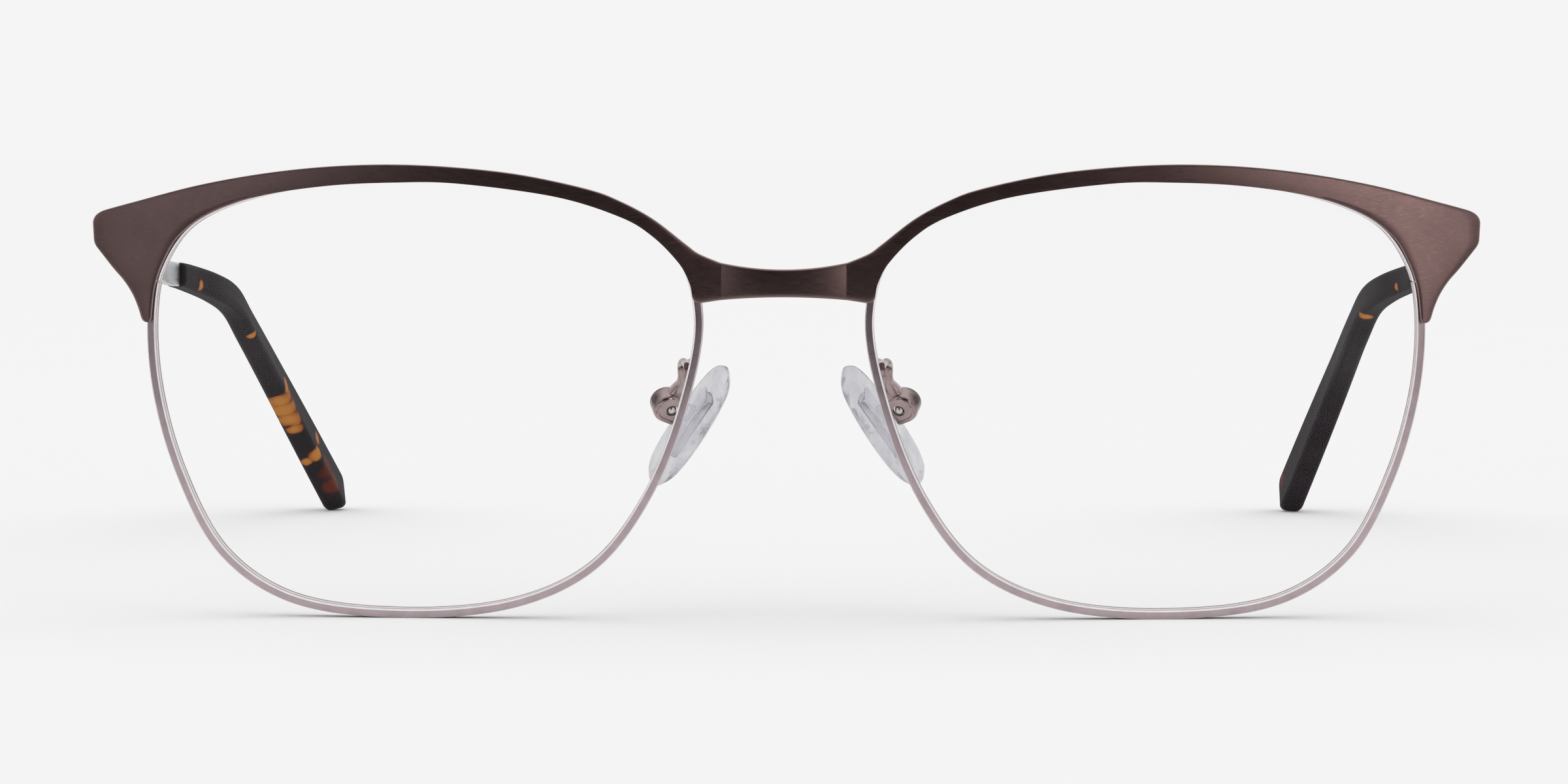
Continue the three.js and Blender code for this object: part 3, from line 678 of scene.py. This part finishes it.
def temple_tip(side):
    """Acetate tip with a rounded mouth, swelling to a round-ended paddle."""
    steps = 300
    parts = np.linspace(0, 1, steps)
    place, out, up, along = temple_stations(side, SLEEVE_START + (1 - SLEEVE_START) * parts)
    rings = []

    def add_ring(station, ahead, half_out, half_up, corner):
        section = rounded_section(half_out, half_up, corner, 8, 16)
        centre = place[station] + along[station] * ahead
        rings.append(centre + section[:, :1] * out[station] + section[:, 1:] * up[station])

    for turn in np.linspace(90, 15, 6):
        a = math.radians(turn)
        shrink = 0.45 * (1 - math.cos(a))
        add_ring(0, TIP_MOUTH * (1 - math.sin(a)), TIP_THICKNESS / 2 - shrink,
                 TIP_HEIGHT / 2 - shrink, TIP_CORNER - 0.5 * shrink)
    length = Curve(TEMPLE_LINE + TIP_LINE[side]).length * (1 - SLEEVE_START)
    for i in range(math.ceil(TIP_MOUTH / length * (steps - 1)) + 1, steps):
        thickness = TIP_THICKNESS + (TIP_END_THICKNESS - TIP_THICKNESS) * parts[i]
        height = TIP_HEIGHT + (TIP_END_HEIGHT - TIP_HEIGHT) * parts[i]
        add_ring(i, 0, thickness / 2, height / 2, TIP_CORNER)
    for turn in np.linspace(4, 84, 18):
        a = math.radians(turn)
        half_out = TIP_END_THICKNESS / 2 * (0.35 + 0.65 * math.cos(a))
        half_up = TIP_END_HEIGHT / 2 * math.cos(a)
        corner = min(TIP_CORNER, 0.98 * half_up, 0.98 * half_out)
        add_ring(-1, TIP_END_HEIGHT / 2 * math.sin(a), half_out, half_up, corner)
    return mesh_from_rings(f"temple_tip_{side}", rings)


# ---------------------------------------------------------------- nose pads

PAD_AXIS = Vector((-0.531, -0.3275, 0.781))
SCREW_WAY = Vector((0.265, 0.811, 0.52))
pad_frame = frame_matrix((9.45, 10.3, 18.5), SCREW_WAY, PAD_AXIS)
blank_frame = pad_frame @ Matrix.Rotation(PAD_TURN, 4, "Z")
box_frame = pad_frame @ Matrix.Translation((0, BOX_Y, POST_Z))
SCREW_LINE = box_frame @ Matrix.Rotation(math.pi / 2, 4, "Y")


def pad_ring(scale, y):
    """Outline of the pad at a depth: a full-cornered oval, narrower at the top."""
    half, wide = scale * PAD_LENGTH / 2, scale * PAD_WIDTH / 2
    count = 96
    ring = []
    for i in range(count):
        sin, cos = math.sin(2 * math.pi * i / count), math.cos(2 * math.pi * i / count)
        x = wide * (1 - PAD_TAPER * sin) * math.copysign(abs(cos) ** PAD_SQUARENESS, cos)
        ring.append(blank_frame @ Vector((x, y, half * sin)))
    return ring


def nose_pad():
    """Soft pad, flat on the side of its box and crowned towards the nose."""
    half = PAD_THICKNESS / 2
    profile = spline([(0.8, -half), (0.9, -half + 0.08), (0.97, -half + 0.4), (1, -half + 1.0),
                      (0.96, 0.1), (0.82, 0.7), (0.55, 1.1), (0.28, 1.28), (0.08, 1.34)], 33)
    rings = [pad_ring(0.4, -half)] + [pad_ring(scale, y) for scale, y in profile]
    apexes = (blank_frame @ Vector((0, -half, 0)), blank_frame @ Vector((0, half, 0)))
    return mesh_from_rings("nose_pad_fine", rings, apexes=apexes)


def pad_core():
    """Stiff plate inside the pad, and the post that the pad box holds."""
    plate = block("plate", (2.8, 0.6, 7.4), (0, -0.3, POST_Z - 0.9), 0.25)
    post = moved(block("post", (0.8, 3.9, 1.8), (0, -2.35, POST_Z), 0.2), pad_frame)
    return combined(moved(plate, blank_frame), ("UNION", post))


def box_outline(inset, foot):
    """Outline of the pad box in its own plane: a round back, straight sides, a flat foot."""
    radius = BOX_RADIUS - inset
    turns = [math.pi * (i / 28 - 0.5) for i in range(29)]
    points = [(0.35 + radius * math.cos(a), radius * math.sin(a)) for a in turns]
    corner = 0.2
    points += [(foot + corner * (1 - sin), radius - corner * (1 - cos)) for sin, cos in quarter(4)]
    points += [(foot + corner * (1 - cos), corner * (1 - sin) - radius) for sin, cos in quarter(4)]
    return points


def box_loft(layers):
    """Loft of box outlines: each layer is (inset, foot, depth along the screw)."""
    to_screw = Matrix(((0, 0, -1, 0), (-1, 0, 0, 0), (0, 1, 0, 0), (0, 0, 0, 1)))
    place = box_frame @ to_screw
    rings = []
    for inset, foot, depth in layers:
        rings.append([place @ Vector((x, y, depth)) for x, y in box_outline(inset, foot)])
    return mesh_from_rings("pad_box_fine", rings)


def pad_box():
    """Round cup with soft edges and an arched recess in front, open towards the pad."""
    half, front_edge, rear_edge = BOX_DEPTH / 2, 0.5, 0.3
    layers = []
    for sin, cos in quarter(6):
        inset = rear_edge * (1 - sin)
        layers.append((inset, BOX_FOOT + inset, rear_edge * (1 - cos) - half))
    for sin, cos in quarter(8):
        inset = front_edge * (1 - cos)
        layers.append((inset, BOX_FOOT + 0.4 * inset, half - front_edge * (1 - sin)))
    body = box_loft(layers)
    past_foot = BOX_FOOT - 0.6
    recess = box_loft([(0.56, past_foot, half - 0.17), (0.5, past_foot, half - 0.1),
                       (0.44, past_foot, half + 0.5)])
    mouth = moved(block("mouth", (1.2, 3.0, 2.5), (0, 0.35, 0), 0.12), box_frame)
    bore = moved(bar("bore", BOX_BORE, -2.2, -0.3), SCREW_LINE)
    return combined(body, ("DIFFERENCE", mouth), ("DIFFERENCE", recess), ("DIFFERENCE", bore))


def pad_screw():
    """Screw from behind, with its front end rounded over like a ball."""
    profile = [(0, -1.1)]
    for turn in range(10, 150, 10):
        a = math.radians(turn)
        profile.append((PIN_BORE * math.sin(a), -0.6 - PIN_BORE * math.cos(a)))
    profile += [(PIN_RADIUS - 0.15, 1.15), (0.7, 1.15), (0.8, 1.25), (0.8, 1.42), (0.7, 1.54),
                (0, 1.54)]
    slot = block("slot", (SLOT_DEPTH, 3, SLOT_WIDTH), (0, 0, 1.6))
    return moved(combined(lathe("pad_screw", profile), ("DIFFERENCE", slot)), SCREW_LINE)


def pad_arm():
    """Flattened wire with a hollow face, looped over and flared out on to the box."""
    foot = Vector(on_front(9.35, 25.0, RIM_DEPTH + 0.08))
    over = pad_frame @ Vector((0.05, BOX_Y, POST_Z + 2.8))
    root = pad_frame @ Vector((0, BOX_Y, POST_Z + BOX_RADIUS - 0.2))
    line = Curve([foot, (9.75, 4.0, 25.35), (10.15, 5.8, 24.9), over, root])
    u = np.linspace(0, 1, 120)
    along = line.along(u)
    out = unit(np.array([1.0, 0, 0]) - along * along[:, :1])
    up = np.cross(along, out)
    sections = []
    for part in u:
        flare = eased(part, FLARE_START, 1)
        section = rounded_section(WIRE_WIDTH / 2 + 0.4 * flare, WIRE_THICKNESS / 2 + 0.35 * flare,
                                  0.3 + 0.2 * flare, 8, 8)
        hollow = 0.16 * (1 - flare) * np.exp(-(section[:, 0] / 0.26) ** 2)
        section[:, 1] -= np.sign(section[:, 1]) * hollow
        sections.append(section)
    return mesh_from_rings("pad_arm_fine", sweep(line.at(u), out, up, sections))


# ---------------------------------------------------------------- materials


class Finish:
    """Material whose nodes start from the object's own coordinates. Sockets of the shader that
    are the same all over are given by name, with _ for each space."""

    def __init__(self, name, **sockets):
        self.material = bpy.data.materials.new(name)
        self.material.use_nodes = True
        self.nodes = self.material.node_tree.nodes
        self.links = self.material.node_tree.links
        self.shader = self.nodes["Principled BSDF"]
        for socket, value in sockets.items():
            self.shader.inputs[socket.replace("_", " ")].default_value = value
        self.coordinates = self.nodes.new("ShaderNodeTexCoord")

    def noise(self, scale, stretch=(1, 1, 1), detail=3.0, roughness=0.5):
        """Noise with `scale` waves to the millimetre, stretched along an axis."""
        mapping = self.nodes.new("ShaderNodeMapping")
        mapping.inputs["Scale"].default_value = [s / MM for s in stretch]
        self.links.new(self.coordinates.outputs["Object"], mapping.inputs["Vector"])
        noise = self.nodes.new("ShaderNodeTexNoise")
        noise.inputs["Scale"].default_value = scale
        noise.inputs["Detail"].default_value = detail
        noise.inputs["Roughness"].default_value = roughness
        self.links.new(mapping.outputs["Vector"], noise.inputs["Vector"])
        return noise.outputs["Fac"]

    def spread(self, value, low, high, start=0.3, end=0.7):
        """Maps a value from start..end to low..high."""
        node = self.nodes.new("ShaderNodeMapRange")
        for socket, number in (("From Min", start), ("From Max", end), ("To Min", low),
                               ("To Max", high)):
            node.inputs[socket].default_value = number
        self.links.new(value, node.inputs["Value"])
        return node.outputs["Result"]

    def ramp(self, value, stops):
        """Colour read from [position, colour] stops."""
        node = self.nodes.new("ShaderNodeValToRGB")
        elements = node.color_ramp.elements
        while len(elements) < len(stops):
            elements.new(0.5)
        for element, (position, colour) in zip(elements, stops):
            element.position = position
            element.color = (*colour, 1)
        self.links.new(value, node.inputs["Fac"])
        return node.outputs["Color"]

    def spots(self, places):
        """1 at the middle of the nearest of the given balls, falling to 0 at its surface."""
        nearest = None
        for place, radius in places:
            distance = self.nodes.new("ShaderNodeVectorMath")
            distance.operation = "DISTANCE"
            distance.inputs[1].default_value = TO_FRAME @ Vector(place)
            self.links.new(self.coordinates.outputs["Object"], distance.inputs[0])
            closeness = self.spread(distance.outputs["Value"], 1, 0, 0, radius * MM)
            if nearest is None:
                nearest = closeness
                continue
            both = self.nodes.new("ShaderNodeMath")
            both.operation = "MAXIMUM"
            self.links.new(nearest, both.inputs[0])
            self.links.new(closeness, both.inputs[1])
            nearest = both.outputs["Value"]
        return nearest

    def facing(self):
        """How far the surface looks back: -1 to the front, 0 to a side, 1 to the rear."""
        node = self.nodes.new("ShaderNodeSeparateXYZ")
        self.links.new(self.coordinates.outputs["Normal"], node.inputs["Vector"])
        return node.outputs["Y"]

    def total(self, *values):
        """Sum of the values."""
        result = values[0]
        for value in values[1:]:
            node = self.nodes.new("ShaderNodeMath")
            self.links.new(result, node.inputs[0])
            self.links.new(value, node.inputs[1])
            result = node.outputs["Value"]
        return result

    def mix(self, part, one, other):
        """Colour that turns from `one` to `other` as part goes from 0 to 1."""
        node = self.nodes.new("ShaderNodeMixRGB")
        self.links.new(part, node.inputs["Fac"])
        self.links.new(one, node.inputs["Color1"])
        self.links.new(other, node.inputs["Color2"])
        return node.outputs["Color"]

    def set(self, socket, value):
        """Feeds a socket of the shader."""
        self.links.new(value, self.shader.inputs[socket])
        return self

    def bump(self, value, depth):
        """Raises the surface by up to `depth` millimetres."""
        node = self.nodes.new("ShaderNodeBump")
        node.inputs["Strength"].default_value = 1.0
        node.inputs["Distance"].default_value = depth * MM
        self.links.new(value, node.inputs["Height"])
        if self.shader.inputs["Normal"].is_linked:
            before = self.shader.inputs["Normal"].links[0].from_socket
            self.links.new(before, node.inputs["Normal"])
        self.links.new(node.outputs["Normal"], self.shader.inputs["Normal"])
        return self


def brown_metal():
    finish = Finish("brown_satin_metal", Metallic=1.0)
    blotch = finish.noise(0.25, detail=4)
    finish.set("Base Color", finish.ramp(blotch, [(0.3, (0.205, 0.138, 0.134)),
                                                  (0.7, (0.235, 0.160, 0.154))]))
    brushed = finish.noise(1.0, stretch=(0.7, 6, 9), detail=5, roughness=0.6)
    finish.set("Roughness", finish.spread(brushed, 0.26, 0.34))
    grain = finish.noise(14, detail=2)
    finish.bump(brushed, 0.004).bump(grain, 0.003)
    return finish.material


def mauve_metal():
    """Satin plating; a painted highlight lightens the slant of a front bevel, and painted shade
    darkens the sides and behind."""
    finish = Finish("mauve_silver_metal", Metallic=1.0)
    blotch = finish.noise(0.6, detail=4)
    satin = finish.ramp(blotch, [(0.3, (0.45, 0.365, 0.385)), (0.7, (0.53, 0.44, 0.465))])
    # painted highlight: the light colour put on the slant of a front bevel
    painted_highlight = finish.ramp(blotch, [(0.3, (0.86, 0.82, 0.83)), (0.7, (0.93, 0.90, 0.91))])
    # painted shade: the darker colour put on surfaces that face sideways or back
    side = finish.ramp(blotch, [(0.3, (0.30, 0.238, 0.235)), (0.7, (0.36, 0.29, 0.287))])
    facing = finish.facing()
    # where the painted highlight and the painted shade go, by which way the surface faces
    highlight_mask = finish.spread(facing, 0, 1, -0.86, -0.78)
    shaded_side_mask = finish.spread(facing, 0, 1, -0.6, -0.45)
    with_painted_highlight = finish.mix(highlight_mask, satin, painted_highlight)
    finish.set("Base Color", finish.mix(shaded_side_mask, with_painted_highlight, side))
    grain = finish.noise(12, detail=3)
    finish.set("Roughness", finish.spread(grain, 0.26, 0.36))
    finish.bump(grain, 0.003)
    return finish.material


# Middles of the painted shade on the outer turns of the left pad arm and box, in the front's
# coordinates, in mm.
PAINTED_SHADE_TURNS = [(13.7, 7.0, 21.6), (13.3, 8.4, 22.6), (10.2, 3.6, 26.0)]
PAINTED_SHADE_REACH = 1.7


def bronze_metal():
    """Glossier plating of the pad arms and boxes, with painted shade that darkens them round
    their outer turns.
    """
    finish = Finish("bronze_mauve_metal", Metallic=1.0)
    blotch = finish.noise(0.9, detail=4)
    light = finish.ramp(blotch, [(0.3, (0.35, 0.27, 0.265)), (0.7, (0.42, 0.335, 0.33))])
    # painted shade: the colour that the outer turns are darkened to
    dark = finish.ramp(blotch, [(0.3, (0.05, 0.034, 0.032)), (0.7, (0.08, 0.058, 0.055))])
    places = [((side * x, y, z), PAINTED_SHADE_REACH) for x, y, z in PAINTED_SHADE_TURNS for side in (1, -1)]
    # painted shade: how far each place round an outer turn is darkened
    painted_shade_mask = finish.spread(finish.spots(places), 0, 1, 0.15, 0.6)
    finish.set("Base Color", finish.mix(painted_shade_mask, light, dark))
    grain = finish.noise(9, detail=3)
    finish.set("Roughness", finish.spread(grain, 0.13, 0.21))
    finish.bump(grain, 0.003)
    return finish.material


def brushed_steel():
    finish = Finish("brushed_steel", Metallic=1.0)
    lines = finish.noise(1.0, stretch=(5, 0.5, 5), detail=5, roughness=0.65)
    finish.set("Base Color", finish.ramp(lines, [(0.3, (0.42, 0.43, 0.44)),
                                                 (0.7, (0.5, 0.51, 0.52))]))
    finish.set("Roughness", finish.spread(lines, 0.26, 0.4))
    finish.bump(lines, 0.004)
    return finish.material


def screw_steel():
    finish = Finish("screw_steel", Metallic=1.0)
    grain = finish.noise(8, detail=3)
    finish.set("Base Color", finish.ramp(grain, [(0.3, (0.62, 0.6, 0.56)),
                                                 (0.7, (0.74, 0.72, 0.68))]))
    finish.set("Roughness", finish.spread(grain, 0.18, 0.3))
    return finish.material


# Amber and deep red patches of the acetate: balls, by middle and radius in mm, in the front's
# coordinates.
AMBER_PATCHES = [
    ((-69.5, 81.8, 30.6), 1.0), ((-66.5, 104.2, 23.9), 1.1), ((-64.6, 122.0, 17.0), 1.6),
    ((-65.4, 122.6, 15.0), 2.6), ((-65.2, 124.4, 13.8), 2.6), ((-64.8, 126.2, 12.2), 2.5),
    ((-64.4, 128.0, 11.0), 1.7),
    ((-62.1, 134.2, 9.6), 1.3), ((-62.0, 132.9, 7.6), 1.6), ((-63.5, 133.4, 6.6), 1.0),
    ((67.6, 97.0, 26.6), 1.5), ((69.5, 81.9, 30.6), 0.8),
    ((-72.6, 91.0, 29.0), 2.6), ((-70.2, 112.0, 23.0), 2.8), ((-66.4, 137.0, 8.0), 2.4),
    ((72.6, 88.0, 30.5), 2.4), ((70.0, 108.0, 25.5), 2.9), ((68.0, 127.0, 15.0), 2.6),
]
RED_PATCHES = [
    ((-61.1, 136.0, 5.8), 2.2), ((-60.5, 138.2, 3.6), 2.2), ((61.0, 142.6, 4.0), 1.6),
    ((-71.8, 96.0, 27.0), 2.6), ((-67.8, 131.0, 12.0), 2.8), ((71.0, 99.0, 28.0), 2.6),
    ((65.6, 139.0, 6.0), 2.6),
]


def tortoise():
    finish = Finish("tortoise_acetate", IOR=1.46, Specular_IOR_Level=0.0, Coat_Weight=0.2,
                    Coat_Roughness=0.3)
    ragged = finish.spread(finish.noise(0.35, detail=3, roughness=0.6), -0.14, 0.22, 0.3, 0.7)
    amber = finish.total(finish.spots(AMBER_PATCHES), ragged)
    red = finish.total(finish.spots(RED_PATCHES), ragged)
    cloud = finish.noise(0.2, detail=3)
    dark = finish.ramp(cloud, [(0.3, (0.006, 0.003, 0.005)), (0.7, (0.014, 0.008, 0.012))])
    deep_red = finish.ramp(cloud, [(0.3, (0.07, 0.008, 0.004)), (0.7, (0.11, 0.016, 0.005))])
    orange = finish.ramp(amber, [(0.30, (0.10, 0.012, 0.004)), (0.5, (0.34, 0.11, 0.018)),
                                 (0.8, (0.44, 0.18, 0.03))])
    colour = finish.mix(finish.spread(red, 0, 1, 0.25, 0.5), dark, deep_red)
    finish.set("Base Color", finish.mix(finish.spread(amber, 0, 1, 0.25, 0.42), colour, orange))
    polish = finish.noise(0.8, detail=3)
    finish.set("Roughness", finish.spread(polish, 0.26, 0.36))
    return finish.material


def lens_glass():
    finish = Finish("lens_glass", Roughness=0.05, IOR=1.5, Alpha=0.006)
    tint = finish.noise(0.05, detail=1)
    finish.set("Base Color", finish.ramp(tint, [(0.3, (0.80, 0.81, 0.82)),
                                                (0.7, (0.84, 0.84, 0.85))]))
    return finish.material


def silicone():
    finish = Finish("clear_silicone", IOR=1.12, Transmission_Weight=1.0)
    cloud = finish.noise(0.5, stretch=(2.0, 1.0, 0.6), detail=3)
    finish.set("Base Color", finish.ramp(cloud, [(0.3, (0.53, 0.52, 0.555)),
                                                 (0.7, (0.76, 0.752, 0.78))]))
    finish.set("Roughness", finish.spread(cloud, 0.08, 0.2))
    finish.bump(finish.noise(1.0, stretch=(1.6, 1.0, 0.5), detail=2), 0.05)
    return finish.material


def pad_plastic():
    finish = Finish("pad_core_plastic", IOR=1.15, Transmission_Weight=0.9)
    cloud = finish.noise(0.8, detail=3)
    finish.set("Base Color", finish.ramp(cloud, [(0.3, (0.90, 0.90, 0.95)),
                                                 (0.7, (0.97, 0.97, 0.99))]))
    finish.set("Roughness", finish.spread(cloud, 0.1, 0.2))
    return finish.material


# ---------------------------------------------------------------- assembly

brown, mauve, bronze = brown_metal(), mauve_metal(), bronze_metal()
steel, screws = brushed_steel(), screw_steel()
acetate, glass, clear, plastic = tortoise(), lens_glass(), silicone(), pad_plastic()

add_piece("brow_plate", brow_plate(), brown, "front")
add_pair("eyewire", eyewire(), mauve)
for piece in add_pair("lens", lens(), glass):
    piece.visible_shadow = False
add_pair("rim_lock_upper", lock_block(LOCK_GAP / 2, LOCK_HEIGHT), mauve)
add_pair("rim_lock_lower", lock_block(-LOCK_HEIGHT, -LOCK_GAP / 2), mauve)
lock_screw = slotted_screw("rim_lock_screw", -1.3, 1.0, -1.75, -1.25, 0.75, head_up=False)
add_pair("rim_lock_screw", moved(lock_screw, lock_frame()), screws)
add_pair("endpiece", endpiece(), brown)
add_pair("front_hinge", front_hinge(), steel)
add_pair("temple_hinge", temple_hinge(), steel, body="temple")
add_pair("hinge_screw", hinge_screw(), screws)
add_pair("pad_arm", pad_arm(), bronze)
add_pair("pad_box", pad_box(), bronze)
add_pair("pad_screw", pad_screw(), screws)
add_pair("nose_pad", nose_pad(), clear, body="pad")
add_pair("pad_core", pad_core(), plastic, body="pad")

for side in ("left", "right"):
    arm, tip = temple_arm(side), temple_tip(side)
    if side == "right":
        arm, tip = mirrored(arm), mirrored(tip)
    add_piece(f"temple_arm_{side}", arm, steel, f"temple_{side}")
    tip_piece = add_piece(f"temple_tip_{side}", tip, acetate, f"temple_{side}")
    tip_piece.visible_shadow = False

# ---------------------------------------------------------------- studio

PAPER = 0.985                       # how much light the floor gives back
PAPER_GRAIN = 0.004                 # how far that varies
AIR = (0.913, 0.913, 0.913)         # the even light all round
DARK = (0.024, 0.021, 0.023)        # the unlit room and table in front of the glasses
BRIGHT_SIDE = (2.3, 2.13, 2.08)     # the card on the side of +X
DIM_SIDE = (0.8, 0.78, 0.8)         # the card on the side of -X
CARD_MIDDLE = Vector((0, -0.07, 0))     # the cards stand round this point
CAMERA_PLACE = (0.009, -0.5468, 0.0475)
CAMERA_DOWN = 2.98                  # degrees below level
CAMERA_TURN = 1.085                 # degrees from straight back, towards the right temple


def studio_floor():
    """Wide pale floor under the glasses, as bright as the air behind it."""
    half = 12.0
    mesh = bpy.data.meshes.new("studio_floor")
    mesh.from_pydata([(-half, -half, 0), (half, -half, 0), (half, half, 0), (-half, half, 0)],
                     [], [(0, 1, 2, 3)])
    finish = Finish("studio_paper", Roughness=0.9, Specular_IOR_Level=0.0)
    grain = finish.noise(0.02, detail=2)
    finish.set("Base Color", finish.ramp(grain, [(0.0, (PAPER,) * 3),
                                                 (1.0, (PAPER + PAPER_GRAIN,) * 3)]))
    mesh.materials.append(finish.material)
    floor = bpy.data.objects.new("studio_floor", mesh)
    bpy.context.scene.collection.objects.link(floor)


def reflected_card(name, corners, colour):
    """Glowing or dark card that only reflections see, as a side of the studio."""
    mesh = bpy.data.meshes.new(name)
    mesh.from_pydata(corners, [], [(0, 1, 2, 3)])
    material = bpy.data.materials.new(name)
    material.use_nodes = True
    nodes = material.node_tree.nodes
    nodes.remove(nodes["Principled BSDF"])
    glow = nodes.new("ShaderNodeEmission")
    glow.inputs["Color"].default_value = (*colour, 1)
    material.node_tree.links.new(glow.outputs["Emission"],
                                 nodes["Material Output"].inputs["Surface"])
    mesh.materials.append(material)
    card = bpy.data.objects.new(name, mesh)
    bpy.context.scene.collection.objects.link(card)
    card.visible_camera = False
    card.visible_diffuse = False
    card.visible_shadow = False
    card.visible_transmission = False


def facing_card(name, turn, distance, width, low, high, colour):
    """Upright card at a bearing from the front of the glasses, counted from -Y towards +X."""
    across = Vector((math.cos(turn), math.sin(turn), 0)) * width / 2
    middle = CARD_MIDDLE + Vector((math.sin(turn), -math.cos(turn), 0)) * distance
    corners = [middle - across + Vector((0, 0, low)), middle + across + Vector((0, 0, low)),
               middle + across + Vector((0, 0, high)), middle - across + Vector((0, 0, high))]
    reflected_card(name, corners, colour)


def studio():
    studio_floor()
    facing_card("dark_room", 0, 1.3, 3.0, -0.01, 1.4, DARK)
    reflected_card("dark_table", [(-1.6, -1.37, 0.0005), (1.6, -1.37, 0.0005),
                                  (0.9, -0.19, 0.0005), (-0.9, -0.19, 0.0005)], DARK)
    facing_card("right_card", math.radians(31), 1.1, 0.26, 0.0, 0.6, BRIGHT_SIDE)
    facing_card("left_card", math.radians(-32), 1.1, 0.30, 0.0, 0.6, DIM_SIDE)
    data = bpy.data.lights.new("top_soft_box", "AREA")
    data.size = 1.6
    data.energy = 0.4
    light = bpy.data.objects.new("top_soft_box", data)
    bpy.context.scene.collection.objects.link(light)
    light.location = (0, 0.1, 1.6)
    world = bpy.data.worlds.new("studio_air")
    world.use_nodes = True
    world.node_tree.nodes["Background"].inputs["Color"].default_value = (*AIR, 1)
    bpy.context.scene.world = world
    bpy.context.scene.view_settings.view_transform = "Standard"


def camera():
    """Camera at the photograph's viewing angle, a little above the glasses."""
    data = bpy.data.cameras.new("camera")
    data.lens = 110.0
    data.sensor_width = 36.0
    data.clip_start, data.clip_end = 0.01, 20
    view = bpy.data.objects.new("camera", data)
    bpy.context.scene.collection.objects.link(view)
    view.location = CAMERA_PLACE
    view.rotation_euler = (math.radians(90 - CAMERA_DOWN), 0, math.radians(CAMERA_TURN))
    bpy.context.scene.camera = view


studio()
camera()
